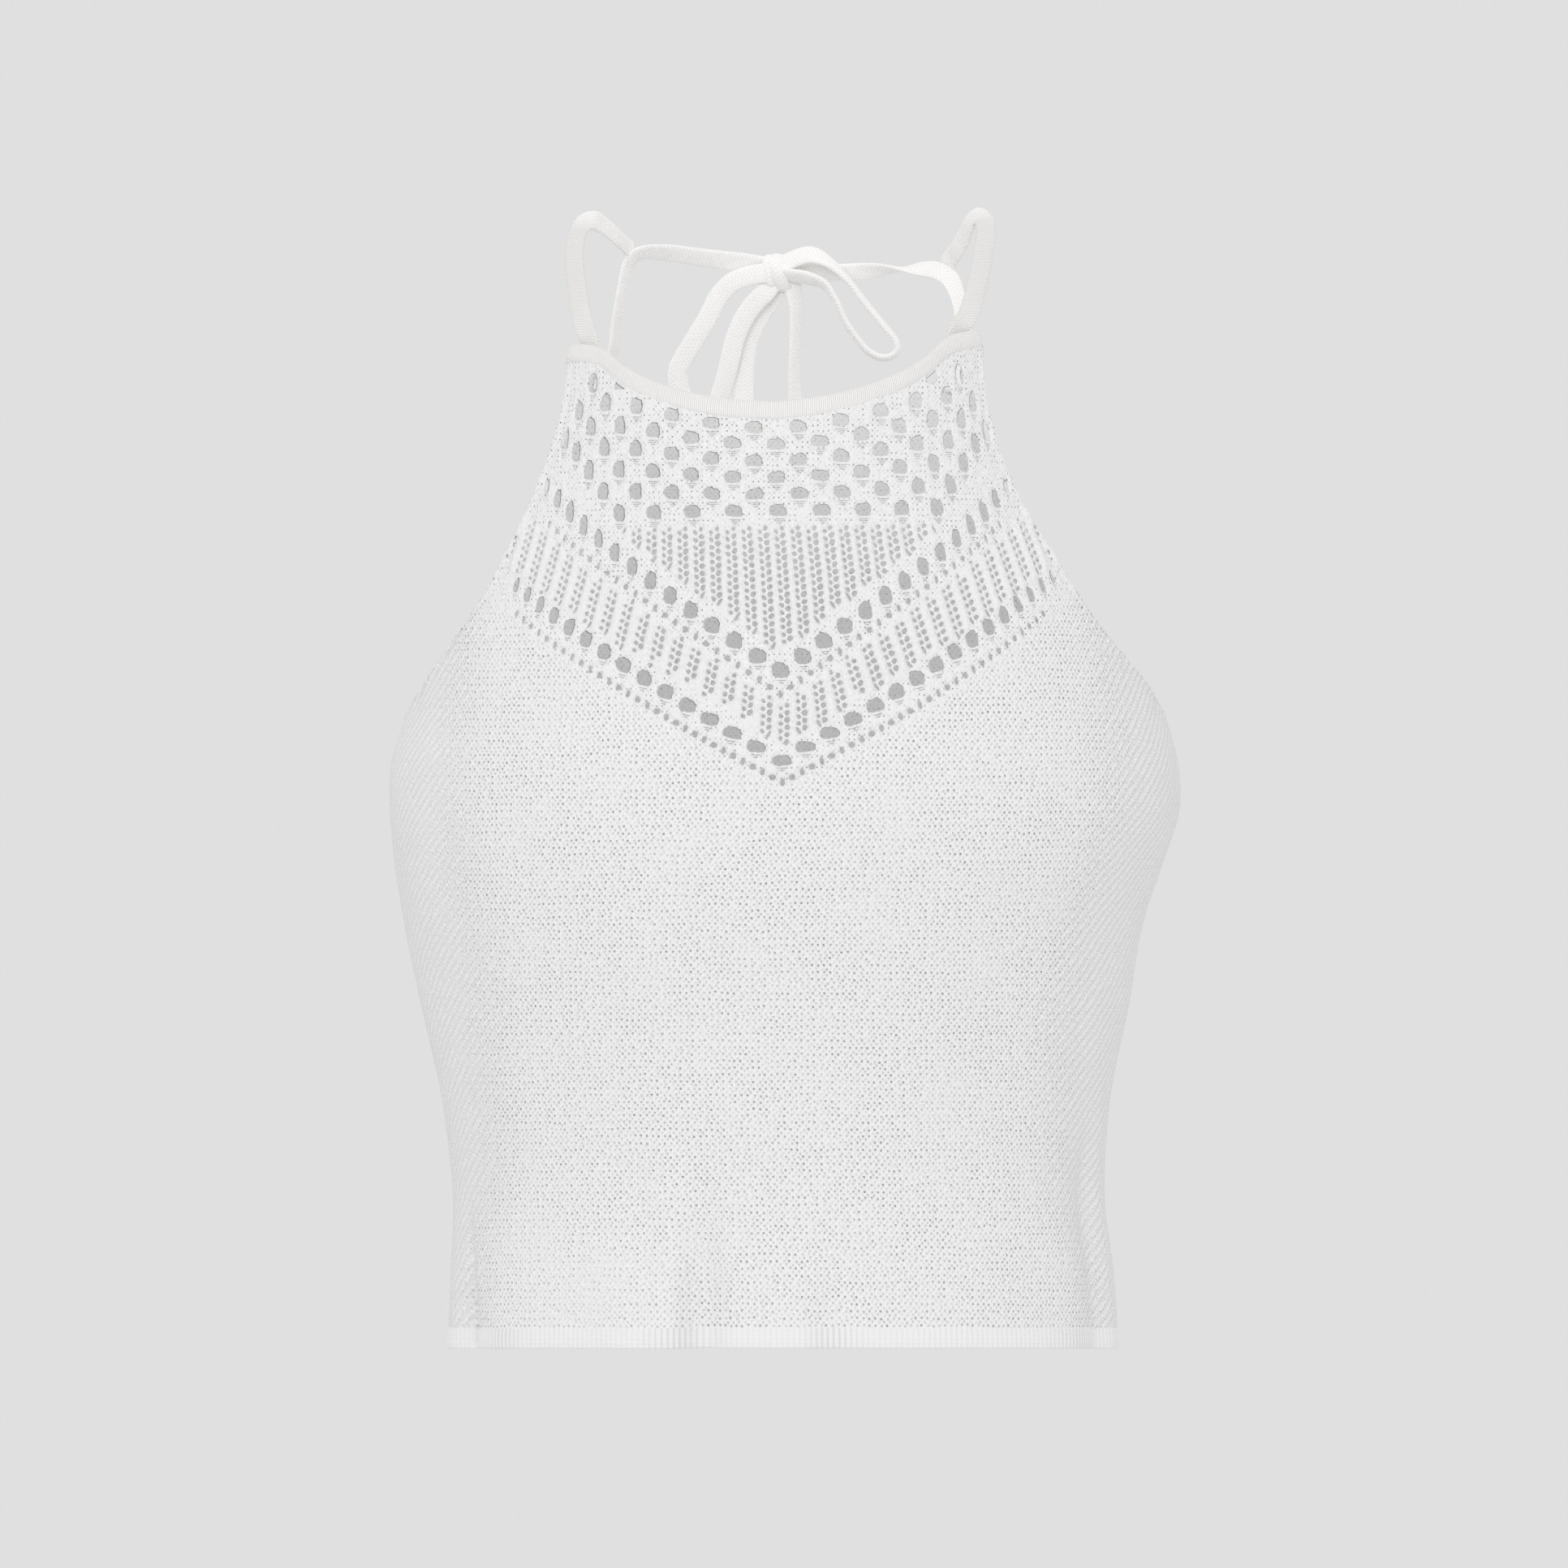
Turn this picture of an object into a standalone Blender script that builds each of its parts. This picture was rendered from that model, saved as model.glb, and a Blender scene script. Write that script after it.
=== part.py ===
# A knitted halter crop top, filled out as if worn, with an openwork yoke, a smooth neck
# binding, two shoulder straps and a bow tied at the nape.  Blender 4.5.
#
# The front faces -Y and +Z is up.  The origin lies midway between the tops of the two
# shoulder straps, which is where the wearer holds the garment up.  Sizes are given in
# millimetres and become metres where the meshes are made.
#
# Every panel is a wall on one form.  The form is a stack of level rings: a point on a ring
# is given by its side (front or back) and by its angle, which runs from -90 degrees at the
# left side seam through 0 at the centre to +90 degrees at the right side seam.

import bpy
import numpy as np

# ---- driving dimensions, mm ----
CLOTH_THICKNESS = 1.6        # knitted wall
SEAM_GAP = 0.3               # space left between two sewn pieces
UNDERARM_HEIGHT = -191.0     # the tube is closed below this, open at the sides above it
SIDE_SEAM_ANGLE = 89.9       # degrees; leaves the seam gap between front and back

HEM_AT_SIDES = -432.6
HEM_FRONT_RISE = 5.0         # the hem is this much higher at the centre front
HEM_BACK_RISE = 1.0
RIB_HEIGHT = 7.4

NECK_CENTRE = -74.4          # top of the binding at the centre front
NECK_RISE = 25.6             # the neckline's corners are this much higher
NECK_TILT = 2.6              # right corner up, left corner down
BINDING_HEIGHT = 7.0
BINDING_DEPTH = 3.6
BINDING_PROUD = 1.0          # how far the binding stands out of the panel's face

BACK_NECK_CENTRE = -74.0
BACK_NECK_RISE = 18.0

TAPE_WIDTH = 7.8
TAPE_THICKNESS = 1.3
TAPE_STEP = 3.4              # distance between two sections of a tape

KNOT_CENTRE = (-2.7, 62.5, -19.8)
KNOT_HALF_SIZES = (3.9, 4.6, 7.1)

# ---- grids ----
FRONT_COLUMNS = 37
BACK_COLUMNS = 29
BODY_ROWS = 10
YOKE_ROWS = 10
YOKE_CROWDING = 1.6          # brings the yoke's rows closer together at the underarm
BINDING_STATIONS = 27
BINDING_SIDES = 8
KNOT_SIDES = 10
KNOT_RINGS = 7
NUDGE = 0.05                 # degrees or mm either way when a direction is measured
CREASE_ANGLE = 50            # degrees; sharper edges are shaded as edges

# Level rings of the form.
RING_COLUMNS = ("height", "lean", "half_width", "middle", "front_depth", "back_depth")
RINGS = (
    (-40, -3.0, 90.5, 13, 80, 42),       # collarbones
    (-75, -3.2, 99.0, 13, 86, 48),
    (-105, -3.0, 111.0, 12, 94, 58),
    (-135, -1.5, 124.5, 8, 99, 71),
    (-163, -0.6, 137.5, 4, 103, 84),
    (-191, 0.6, 144.3, 1, 107, 92),      # underarm
    (-209, 0.2, 149.5, 0, 110, 95),
    (-228, 0.1, 150.3, 0, 111, 96),      # bust
    (-246, -1.9, 146.6, 0, 110, 95),
    (-265, -3.8, 141.8, 0, 107, 92),
    (-302, -3.6, 134.7, 0, 99, 86),
    (-340, -3.1, 127.0, 0, 93, 81),
    (-376, -2.0, 124.2, 0, 90, 79),      # waist
    (-404, -0.9, 126.4, 0, 91, 82),
    (-433, -0.5, 127.4, 0, 92, 86),      # hem
)

# How far round the ring the panels reach above the underarm, in degrees.
ARMHOLE_COLUMNS = ("height", "front", "back")
ARMHOLE = (
    (-40, 57.5, 53.0),
    (-60, 56.5, 53.0),
    (-80, 54.8, 52.8),
    (-105, 55.0, 53.5),
    (-135, 58.4, 57.0),
    (-163, 65.5, 64.0),
    (-180, 76.5, 75.5),
    (-188, 84.0, 83.5),
    (-191, 89.9, 89.9),
)

# Rise of the front neckline, as a share of NECK_RISE, against the share of the way across.
NECKLINE_COLUMNS = ("across", "rise")
NECKLINE = (
    (0.00, 0.00),
    (0.25, 0.085),
    (0.50, 0.29),
    (0.70, 0.58),
    (0.85, 0.92),
    (1.00, 1.02),
)

# Soft vertical folds that grow towards the hem: depth is negative for a trough.
FOLD_COLUMNS = ("side", "angle", "width", "depth", "starts", "full")
FOLDS = (
    ("front", -24.0, 7.0, 2.4, -372, -425),
    ("front", -13.5, 4.5, -3.0, -368, -420),
    ("front", 8.0, 4.5, -1.3, -398, -430),
    ("front", -69.0, 4.5, -5.0, -380, -424),
    ("front", 70.0, 5.0, -2.6, -335, -370),
    ("back", -28.0, 8.0, -2.6, -375, -428),
    ("back", 17.0, 6.0, -2.0, -388, -430),
    ("back", 42.0, 9.0, 2.0, -380, -428),
)


def smooth(table, columns, name, at):
    """Value of a named column at the given places: a cubic curve through the rows."""
    rows = sorted((row[0], row[columns.index(name)]) for row in table)
    places = np.array([row[0] for row in rows], float)
    values = np.array([row[1] for row in rows], float)
    slopes = np.gradient(values, places)
    at = np.clip(at, places[0], places[-1])
    k = np.clip(np.searchsorted(places, at) - 1, 0, len(places) - 2)
    step = places[k + 1] - places[k]
    t = (at - places[k]) / step
    ease = t * t * (3 - 2 * t)
    lift = (t ** 3 - 2 * t * t + t) * slopes[k] + (t ** 3 - t * t) * slopes[k + 1]
    return values[k] * (1 - ease) + values[k + 1] * ease + step * lift


def fold_offset(side, angle, height):
    """Sum of the folds' bell curves, each one easing in from its start to its full height."""
    offset = np.zeros(np.broadcast(angle, height).shape)
    for row in FOLDS:
        fold = dict(zip(FOLD_COLUMNS, row))
        if fold["side"] != side:
            continue
        t = np.clip((height - fold["starts"]) / (fold["full"] - fold["starts"]), 0, 1)
        bell = np.exp(-0.5 * ((angle - fold["angle"]) / fold["width"]) ** 2)
        offset = offset + fold["depth"] * t * t * (3 - 2 * t) * bell
    return offset


def ring_point(side, angle, height):
    """Point of the form: an ellipse at its height, moved out or in by the folds."""
    lean = smooth(RINGS, RING_COLUMNS, "lean", height)
    half_width = smooth(RINGS, RING_COLUMNS, "half_width", height)
    middle = smooth(RINGS, RING_COLUMNS, "middle", height)
    depth = smooth(RINGS, RING_COLUMNS, side + "_depth", height)
    facing = -1.0 if side == "front" else 1.0
    fold = fold_offset(side, angle, height)
    turn = np.radians(angle)
    x = lean + (half_width + fold) * np.sin(turn)
    y = middle + facing * (depth + fold) * np.cos(turn)
    return np.stack([x, y, height + 0 * x], axis=-1)


def on_form(side, angle, height, out=0.0):
    """Point of the form, moved out along its normal."""
    angle, height = np.broadcast_arrays(np.asarray(angle, float), np.asarray(height, float))
    point = ring_point(side, angle, height)
    along = ring_point(side, angle + NUDGE, height) - ring_point(side, angle - NUDGE, height)
    up = ring_point(side, angle, height + NUDGE) - ring_point(side, angle, height - NUDGE)
    normal = np.cross(along, up)
    normal /= np.linalg.norm(normal, axis=-1, keepdims=True)
    facing = 1.0 if side == "front" else -1.0
    return point + np.asarray(out)[..., None] * facing * normal


def front_neckline(across):
    """Height of the binding's top edge; across runs from -1 at the left corner to +1."""
    rise = smooth(NECKLINE, NECKLINE_COLUMNS, "rise", np.abs(across))
    return NECK_CENTRE + NECK_RISE * rise + NECK_TILT * across


def back_neckline(across):
    """Height of the back panel's top edge, a shallow scoop."""
    return BACK_NECK_CENTRE + BACK_NECK_RISE * across ** 2


def panel_top(side, across):
    """Height where the panel ends: under the binding in front, at its own edge behind."""
    if side == "front":
        return front_neckline(across) - BINDING_HEIGHT - SEAM_GAP
    return back_neckline(across)


def hem_line(side, angle):
    """Height of the hem's lower edge."""
    rise = HEM_FRONT_RISE if side == "front" else HEM_BACK_RISE
    return HEM_AT_SIDES + rise * np.cos(np.radians(angle))


def yoke_angles(side, share, up):
    """Angles of one yoke row: share of the panel's reach, up from 0 at the underarm to 1."""
    corner = panel_top(side, np.sign(share))
    edge_height = UNDERARM_HEIGHT + up * (corner - UNDERARM_HEIGHT)
    reach = smooth(ARMHOLE, ARMHOLE_COLUMNS, side, edge_height)
    return share * reach, np.sin(np.radians(share * reach)) / np.sin(np.radians(reach))


def panel_grid(side, columns):
    """Angles and heights of a whole panel, from the rib's seam up to the neckline."""
    share = np.linspace(-1, 1, columns)
    angles, heights = [], []
    for up in np.linspace(0, 1, BODY_ROWS, endpoint=False):
        angle = share * SIDE_SEAM_ANGLE
        low = hem_line(side, angle) + RIB_HEIGHT + SEAM_GAP
        angles.append(angle)
        heights.append(low + up * (UNDERARM_HEIGHT - low))
    for up in np.linspace(0, 1, YOKE_ROWS + 1) ** YOKE_CROWDING:
        angle, across = yoke_angles(side, share, up)
        angles.append(angle)
        heights.append(UNDERARM_HEIGHT + up * (panel_top(side, across) - UNDERARM_HEIGHT))
    return np.array(angles), np.array(heights)


def rib_grid(side, columns):
    """Angles and heights of a hem rib."""
    angle = np.linspace(-1, 1, columns) * SIDE_SEAM_ANGLE
    low = hem_line(side, angle)
    return np.array([angle, angle]), np.array([low, low + RIB_HEIGHT])


def material(name, colour, roughness):
    """Plain Principled material in the yarn's colour."""
    made = bpy.data.materials.new(name)
    made.use_nodes = True
    shader = made.node_tree.nodes["Principled BSDF"]
    shader.inputs["Base Color"].default_value = (*colour, 1.0)
    shader.inputs["Roughness"].default_value = roughness
    shader.inputs["Metallic"].default_value = 0.0
    return made


def add_solid(name, points, faces, finish):
    """One named object; its faces are turned outwards if the volume comes out negative."""
    points = np.asarray(points, float) / 1000.0
    corners = points[np.array([(f[0], f[i], f[i + 1]) for f in faces for i in range(1, len(f) - 1)])]
    volume = np.einsum("ij,ij->i", corners[:, 0], np.cross(corners[:, 1], corners[:, 2])).sum()
    if volume < 0:
        faces = [tuple(reversed(f)) for f in faces]
    mesh = bpy.data.meshes.new(name)
    mesh.from_pydata(points.tolist(), [], faces)
    mesh.materials.append(finish)
    mesh.shade_smooth()
    mesh.set_sharp_from_angle(angle=np.radians(CREASE_ANGLE))
    solid = bpy.data.objects.new(name, mesh)
    bpy.context.collection.objects.link(solid)
    return solid


def grid_faces(rows, columns, first=0, wrap=False):
    """Quads of a grid of points; wrap joins the last column to the first."""
    faces = []
    for i in range(rows - 1):
        for j in range(columns if wrap else columns - 1):
            k = (j + 1) % columns
            faces.append((first + i * columns + j, first + i * columns + k,
                          first + (i + 1) * columns + k, first + (i + 1) * columns + j))
    return faces


def add_wall(name, side, angles, heights, finish):
    """Cloth wall: an outer and an inner sheet on the form, joined round their rim."""
    rows, columns = angles.shape
    outer = on_form(side, angles, heights).reshape(-1, 3)
    inner = on_form(side, angles, heights, -CLOTH_THICKNESS).reshape(-1, 3)
    count = rows * columns
    faces = grid_faces(rows, columns)
    faces += [tuple(reversed(f)) for f in grid_faces(rows, columns, count)]
    rim = list(range(columns))
    rim += [i * columns + columns - 1 for i in range(1, rows)]
    rim += [(rows - 1) * columns + j for j in range(columns - 2, -1, -1)]
    rim += [i * columns for i in range(rows - 2, 0, -1)]
    for a, b in zip(rim, rim[1:] + rim[:1]):
        faces.append((b, a, a + count, b + count))
    return add_solid(name, np.vstack([outer, inner]), faces, finish)


def add_tube(name, sections, finish):
    """Closed solid through ring-shaped sections, with flat caps at its two ends."""
    stations, around = sections.shape[:2]
    faces = grid_faces(stations, around, wrap=True)
    faces.append(tuple(reversed(range(around))))
    faces.append(tuple(range((stations - 1) * around, stations * around)))
    return add_solid(name, sections.reshape(-1, 3), faces, finish)


def add_binding(finish):
    """Rolled band along the front neckline: a faceted oval carried along the form."""
    profile = (np.arange(BINDING_SIDES) + 0.5) * 2 * np.pi / BINDING_SIDES
    stretch = 1 / np.cos(np.pi / BINDING_SIDES)
    out = BINDING_PROUD - BINDING_DEPTH / 2 * (1 - np.cos(profile) * stretch)
    up = BINDING_HEIGHT / 2 * np.sin(profile) * stretch
    share = np.linspace(-1, 1, BINDING_STATIONS)
    angle, across = yoke_angles("front", share, 1.0)
    middle = front_neckline(across) - BINDING_HEIGHT / 2
    heights = middle[:, None] + up[None, :]
    angles = angle[:, None] + 0 * heights
    add_tube("neck_binding", on_form("front", angles, heights, out[None, :] + 0 * heights), finish)


def smooth_route(rows, step):
    """Points every step along a smooth curve through the rows, with the tape's across
    direction carried along and kept square to the curve."""
    rows = np.array(rows, float)
    chord = np.concatenate([[0], np.cumsum(np.linalg.norm(np.diff(rows[:, :3], axis=0), axis=1))])
    slopes = np.gradient(rows, chord, axis=0)
    at = np.linspace(0, chord[-1], max(3, int(round(chord[-1] / step)) + 1))
    k = np.clip(np.searchsorted(chord, at) - 1, 0, len(chord) - 2)
    span = (chord[k + 1] - chord[k])[:, None]
    t = ((at - chord[k]) / span[:, 0])[:, None]
    ease = t * t * (3 - 2 * t)
    curve = rows[k] * (1 - ease) + rows[k + 1] * ease
    curve += span * ((t ** 3 - 2 * t * t + t) * slopes[k] + (t ** 3 - t * t) * slopes[k + 1])
    points, across = curve[:, :3], curve[:, 3:]
    tangent = np.gradient(points, axis=0)
    tangent /= np.linalg.norm(tangent, axis=1, keepdims=True)
    across -= np.sum(across * tangent, axis=1, keepdims=True) * tangent
    across /= np.linalg.norm(across, axis=1, keepdims=True)
    return points, across, np.cross(tangent, across)


def add_tape(name, rows, finish):
    """Flat tape: a flattened six-sided section carried along its route."""
    points, across, face = smooth_route(rows, TAPE_STEP)
    half, thin, edge = TAPE_WIDTH / 2, TAPE_THICKNESS / 2, TAPE_WIDTH / 2 - TAPE_THICKNESS / 2
    section = ((half, 0), (edge, thin), (-edge, thin), (-half, 0), (-edge, -thin), (edge, -thin))
    sections = np.stack([points + across * a + face * b for a, b in section], axis=1)
    return add_tube(name, sections, finish)


def sewn(side, angle, height, out, rightwards=1):
    """Route row of a tape that lies on a panel: a point of the panel, moved out or in, with
    the tape's width level along the panel, to the right (1) or to the left (-1)."""
    along = on_form(side, angle + 1.0, height) - on_form(side, angle - 1.0, height)
    return (*on_form(side, angle, height, out), *(rightwards * along / np.linalg.norm(along)))


# Routes of the tapes, mm: x, y, z of the middle line, then the direction across the tape.
BEHIND_BINDING = BINDING_PROUD - BINDING_DEPTH - SEAM_GAP - TAPE_THICKNESS / 2
INSIDE_BACK = -CLOTH_THICKNESS - SEAM_GAP - TAPE_THICKNESS / 2 - 0.2
ON_BACK = SEAM_GAP + TAPE_THICKNESS / 2 + 0.2

STRAP_LEFT = (
    sewn("front", -50.7, -57.0, BEHIND_BINDING, -1),
    sewn("front", -51.2, -51.5, BEHIND_BINDING - 0.4, -1),
    (-75.6, -30.0, -44.6, -0.92, 0.39, 0),
    (-77.2, -23.5, -37.0, -0.82, 0.57, 0),
    (-78.8, -13.0, -27.8, -0.78, 0.62, 0),
    (-79.7, -3.5, -19.8, -0.80, 0.60, 0),
    (-79.7, 4.0, -12.7, -0.80, 0.60, 0.10),
    (-78.6, 9.5, -6.5, -0.70, 0.60, 0.35),
    (-75.6, 14.5, -2.0, -0.30, 0.45, 0.75),
    (-72.2, 19.0, -0.8, 0.30, 0.00, 0.90),
    (-68.9, 24.5, -2.9, 0.55, -0.20, 0.75),
    (-65.0, 31.5, -6.5, 0.65, -0.25, 0.65),
    (-61.1, 39.0, -9.9, 0.65, -0.25, 0.65),
    (-58.8, 43.5, -11.8, 0.65, -0.25, 0.65),
)
STRAP_RIGHT = (
    sewn("front", 48.4, -53.5, BEHIND_BINDING),
    sewn("front", 49.4, -48.0, BEHIND_BINDING - 0.4),
    (69.2, -31.5, -40.9, 0.92, 0.39, 0),
    (72.3, -22.5, -31.7, 0.88, 0.48, 0),
    (74.6, -12.0, -22.1, 0.86, 0.50, 0),
    (76.2, -2.5, -13.5, 0.84, 0.52, 0.05),
    (77.0, 4.5, -7.0, 0.80, 0.55, 0.20),
    (76.1, 10.0, -2.4, 0.55, 0.50, 0.60),
    (73.5, 15.5, -0.9, 0.00, 0.30, 0.95),
    (70.8, 22.0, -4.0, -0.45, 0.10, 0.60),
    (68.5, 30.0, -9.3, -0.50, 0.25, 0.45),
    (66.1, 37.5, -13.3, -0.50, 0.30, 0.45),
    (64.0, 42.6, -15.7, -0.50, 0.30, 0.45),
    (62.2, 48.0, -17.7, -0.50, 0.35, 0.45),
)
TIE_LEFT = (
    sewn("back", -45.0, -66.0, INSIDE_BACK),
    sewn("back", -44.4, -60.0, INSIDE_BACK),
    (-65.9, 43.0, -51.9, 0.50, 0.87, 0),
    (-64.5, 44.0, -40.7, 0.45, 0.89, 0),
    (-63.0, 45.0, -31.2, 0.45, 0.89, 0),
    (-61.4, 45.8, -22.8, 0.45, 0.89, -0.10),
    (-60.3, 46.2, -18.1, 0.42, 0.86, -0.25),
    (-58.1, 46.8, -14.6, 0.30, 0.82, -0.45),
    (-54.1, 48.5, -12.7, 0.10, 0.80, -0.55),
    (-48.2, 51.0, -12.4, 0.00, 0.75, -0.65),
    (-42.0, 54.0, -12.8, 0.00, 0.68, -0.73),
    (-34.8, 57.0, -13.8, 0.00, 0.60, -0.80),
    (-24.8, 60.5, -14.9, 0.00, 0.50, -0.86),
    (-14.4, 62.8, -15.9, 0.00, 0.50, -0.86),
    (-6.6, 63.6, -17.2, 0.00, 0.50, -0.86),
)
TIE_RIGHT = (
    sewn("back", 46.5, -66.0, INSIDE_BACK),
    sewn("back", 46.3, -59.0, INSIDE_BACK),
    (66.8, 40.2, -50.5, 0.90, -0.25, 0),
    (68.6, 41.8, -43.5, 0.84, 0.45, 0),
    (68.3, 43.5, -36.0, 0.76, 0.64, 0),
    (66.4, 45.0, -28.6, 0.74, 0.66, 0.15),
    (63.5, 46.5, -23.3, 0.60, 0.66, 0.40),
    (59.1, 48.5, -20.2, 0.30, 0.70, 0.60),
    (52.6, 51.5, -18.8, 0.05, 0.82, 0.50),
    (46.0, 54.5, -18.8, 0.00, 0.99, 0.10),
    (37.3, 58.0, -18.8, 0.00, 0.84, -0.50),
    (29.5, 60.5, -19.3, 0.00, 0.66, -0.74),
    (20.1, 62.6, -19.8, 0.00, 0.58, -0.80),
    (10.0, 63.6, -19.6, 0.00, 0.55, -0.82),
    (1.7, 63.8, -19.5, 0.00, 0.55, -0.82),
)
LOOP_LEFT = (
    (-6.6, 59.4, -20.0, 0.00, 0.10, 1.00),
    (-12.9, 58.9, -21.0, -0.20, 0.05, 1.00),
    (-19.4, 58.9, -23.4, -0.45, 0.00, 0.85),
    (-24.5, 59.6, -28.1, -0.70, 0.00, 0.70),
    (-29.2, 60.4, -36.8, -0.88, 0.00, 0.45),
    (-34.8, 61.2, -46.1, -0.86, 0.00, 0.50),
    (-38.9, 62.0, -53.0, -0.92, 0.05, 0.38),
    (-41.0, 62.6, -57.6, -1.00, 0.10, 0.10),
    (-40.8, 63.2, -62.5, -1.00, 0.15, -0.05),
    (-39.3, 63.8, -67.8, -0.90, 0.30, -0.30),
    (-36.5, 64.2, -73.2, -0.60, 0.60, -0.60),
    (-32.7, 64.4, -76.6, -0.10, 0.85, -0.70),
    (-28.7, 64.2, -75.0, 0.50, 0.60, -0.60),
    (-25.6, 63.9, -70.6, 0.85, 0.30, -0.30),
    (-23.9, 63.6, -65.0, 0.97, 0.10, -0.10),
    (-22.0, 63.3, -58.5, 0.99, 0.00, -0.15),
    (-20.4, 62.9, -51.5, 0.98, 0.00, -0.20),
    (-18.5, 62.4, -44.2, 0.95, 0.00, -0.30),
    (-15.1, 61.6, -36.8, 0.86, 0.00, -0.50),
    (-10.4, 60.6, -30.6, 0.75, 0.00, -0.65),
    (-7.6, 60.2, -27.9, 0.70, 0.00, -0.70),
)
TAIL_LEFT = (
    (-3.6, 64.6, -27.6, 0.80, 0.00, -0.60),
    (-8.0, 65.5, -34.2, 0.82, 0.00, -0.56),
    (-11.3, 65.7, -40.2, 0.90, 0.00, -0.42),
    (-13.8, 65.8, -46.5, 0.96, 0.00, -0.28),
    (-15.1, 65.7, -54.0, 0.99, 0.00, -0.10),
    (-15.4, 65.4, -61.5, 1.00, 0.00, 0.00),
    (-15.6, 64.9, -69.3, 1.00, 0.00, 0.00),
    sewn("back", -8.0, -79.0, ON_BACK + 0.4),
    sewn("back", -8.2, -88.0, ON_BACK),
    sewn("back", -9.0, -97.0, ON_BACK),
    sewn("back", -9.8, -106.0, ON_BACK),
)
TAIL_RIGHT = (
    (3.4, 63.2, -25.2, 0.86, 0.50, 0),
    (4.7, 63.8, -33.2, 0.66, 0.75, 0),
    (4.4, 64.4, -43.8, 0.52, 0.85, 0),
    (3.9, 64.9, -57.5, 0.50, 0.86, 0),
    (4.2, 65.3, -67.0, 0.60, 0.80, 0),
    (4.7, 65.4, -75.0, 0.80, 0.55, 0),
    sewn("back", 4.6, -84.0, ON_BACK + 0.7),
    sewn("back", 5.2, -93.0, ON_BACK),
    sewn("back", 5.8, -102.0, ON_BACK),
)
LOOP_RIGHT = (
    (1.2, 60.2, -15.8, 0.00, 0.75, 0.66),
    (10.7, 56.8, -13.3, 0.10, 0.85, 0.50),
    (16.9, 55.9, -16.0, 0.15, 0.96, 0.25),
    (24.8, 55.9, -23.2, 0.10, 1.00, 0.10),
    (31.7, 56.5, -32.3, 0.10, 1.00, 0.08),
    (38.9, 57.4, -41.0, 0.10, 1.00, 0.08),
    (43.0, 58.0, -46.2, 0.10, 1.00, 0.05),
    (44.0, 58.3, -49.4, 0.10, 1.00, 0.00),
    (42.2, 58.5, -51.9, 0.10, 1.00, -0.05),
    (37.6, 58.5, -52.8, 0.05, 1.00, -0.10),
    (32.9, 58.3, -50.7, 0.00, 1.00, -0.10),
    (27.9, 57.8, -45.1, 0.00, 1.00, -0.10),
    (23.5, 57.0, -38.5, 0.00, 1.00, -0.10),
    (20.1, 56.2, -31.0, 0.00, 1.00, -0.10),
    (15.7, 55.9, -24.8, -0.10, 0.95, -0.25),
    (10.2, 56.6, -22.4, -0.10, 0.88, -0.45),
    (1.8, 59.6, -21.0, 0.00, 0.84, -0.52),
)
TAPES = {
    "strap_left": STRAP_LEFT, "strap_right": STRAP_RIGHT,
    "tie_left": TIE_LEFT, "tie_right": TIE_RIGHT,
    "bow_loop_left": LOOP_LEFT, "bow_loop_right": LOOP_RIGHT,
    "tie_tail_left": TAIL_LEFT, "tie_tail_right": TAIL_RIGHT,
}


def add_knot(finish):
    """Bow knot: a rounded lump, taller than it is wide, where the two ties cross."""
    turn = np.linspace(0, 2 * np.pi, KNOT_SIDES, endpoint=False)
    tilt = np.linspace(-np.pi / 2, np.pi / 2, KNOT_RINGS + 2)[1:-1]
    unit = np.stack([np.cos(tilt)[:, None] * np.cos(turn), np.cos(tilt)[:, None] * np.sin(turn),
                     np.sin(tilt)[:, None] + 0 * turn], axis=-1)
    add_tube("bow_knot", np.array(KNOT_CENTRE) + unit * np.array(KNOT_HALF_SIZES), finish)


def build():
    """Every piece of the garment."""
    for old in list(bpy.data.objects):
        bpy.data.objects.remove(old)
    knit = material("white_knit", (0.83, 0.83, 0.83), 0.9)
    trim = material("cream_trim", (0.86, 0.85, 0.81), 0.85)
    for side, columns in (("front", FRONT_COLUMNS), ("back", BACK_COLUMNS)):
        add_wall(side + "_panel", side, *panel_grid(side, columns), knit)
        add_wall("hem_rib_" + side, side, *rib_grid(side, columns), knit)
    add_binding(trim)
    for name, rows in TAPES.items():
        add_tape(name, rows, trim)
    add_knot(trim)


build()
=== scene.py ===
import bpy
import numpy as np
from mathutils.geometry import delaunay_2d_cdt
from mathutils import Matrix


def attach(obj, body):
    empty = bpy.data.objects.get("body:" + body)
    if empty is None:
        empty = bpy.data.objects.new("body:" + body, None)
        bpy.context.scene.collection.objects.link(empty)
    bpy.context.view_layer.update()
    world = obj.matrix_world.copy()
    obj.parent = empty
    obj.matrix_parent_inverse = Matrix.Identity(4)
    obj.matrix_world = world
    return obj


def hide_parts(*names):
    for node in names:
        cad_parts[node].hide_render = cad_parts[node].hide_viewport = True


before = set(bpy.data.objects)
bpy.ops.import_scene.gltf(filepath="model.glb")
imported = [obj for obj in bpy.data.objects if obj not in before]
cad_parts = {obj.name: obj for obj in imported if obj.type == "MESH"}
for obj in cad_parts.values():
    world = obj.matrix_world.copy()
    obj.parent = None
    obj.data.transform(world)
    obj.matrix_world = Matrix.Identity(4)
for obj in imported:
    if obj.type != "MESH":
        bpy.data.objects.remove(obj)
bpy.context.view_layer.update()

mm = 0.001
upright = np.radians(90)

view = {"distance": 4000, "height": -217.5, "frameWidth": 597, "sensor": 36}


def addObject(name, data):
    made = bpy.data.objects.new(name, data)
    bpy.context.scene.collection.objects.link(made)
    return made


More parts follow.
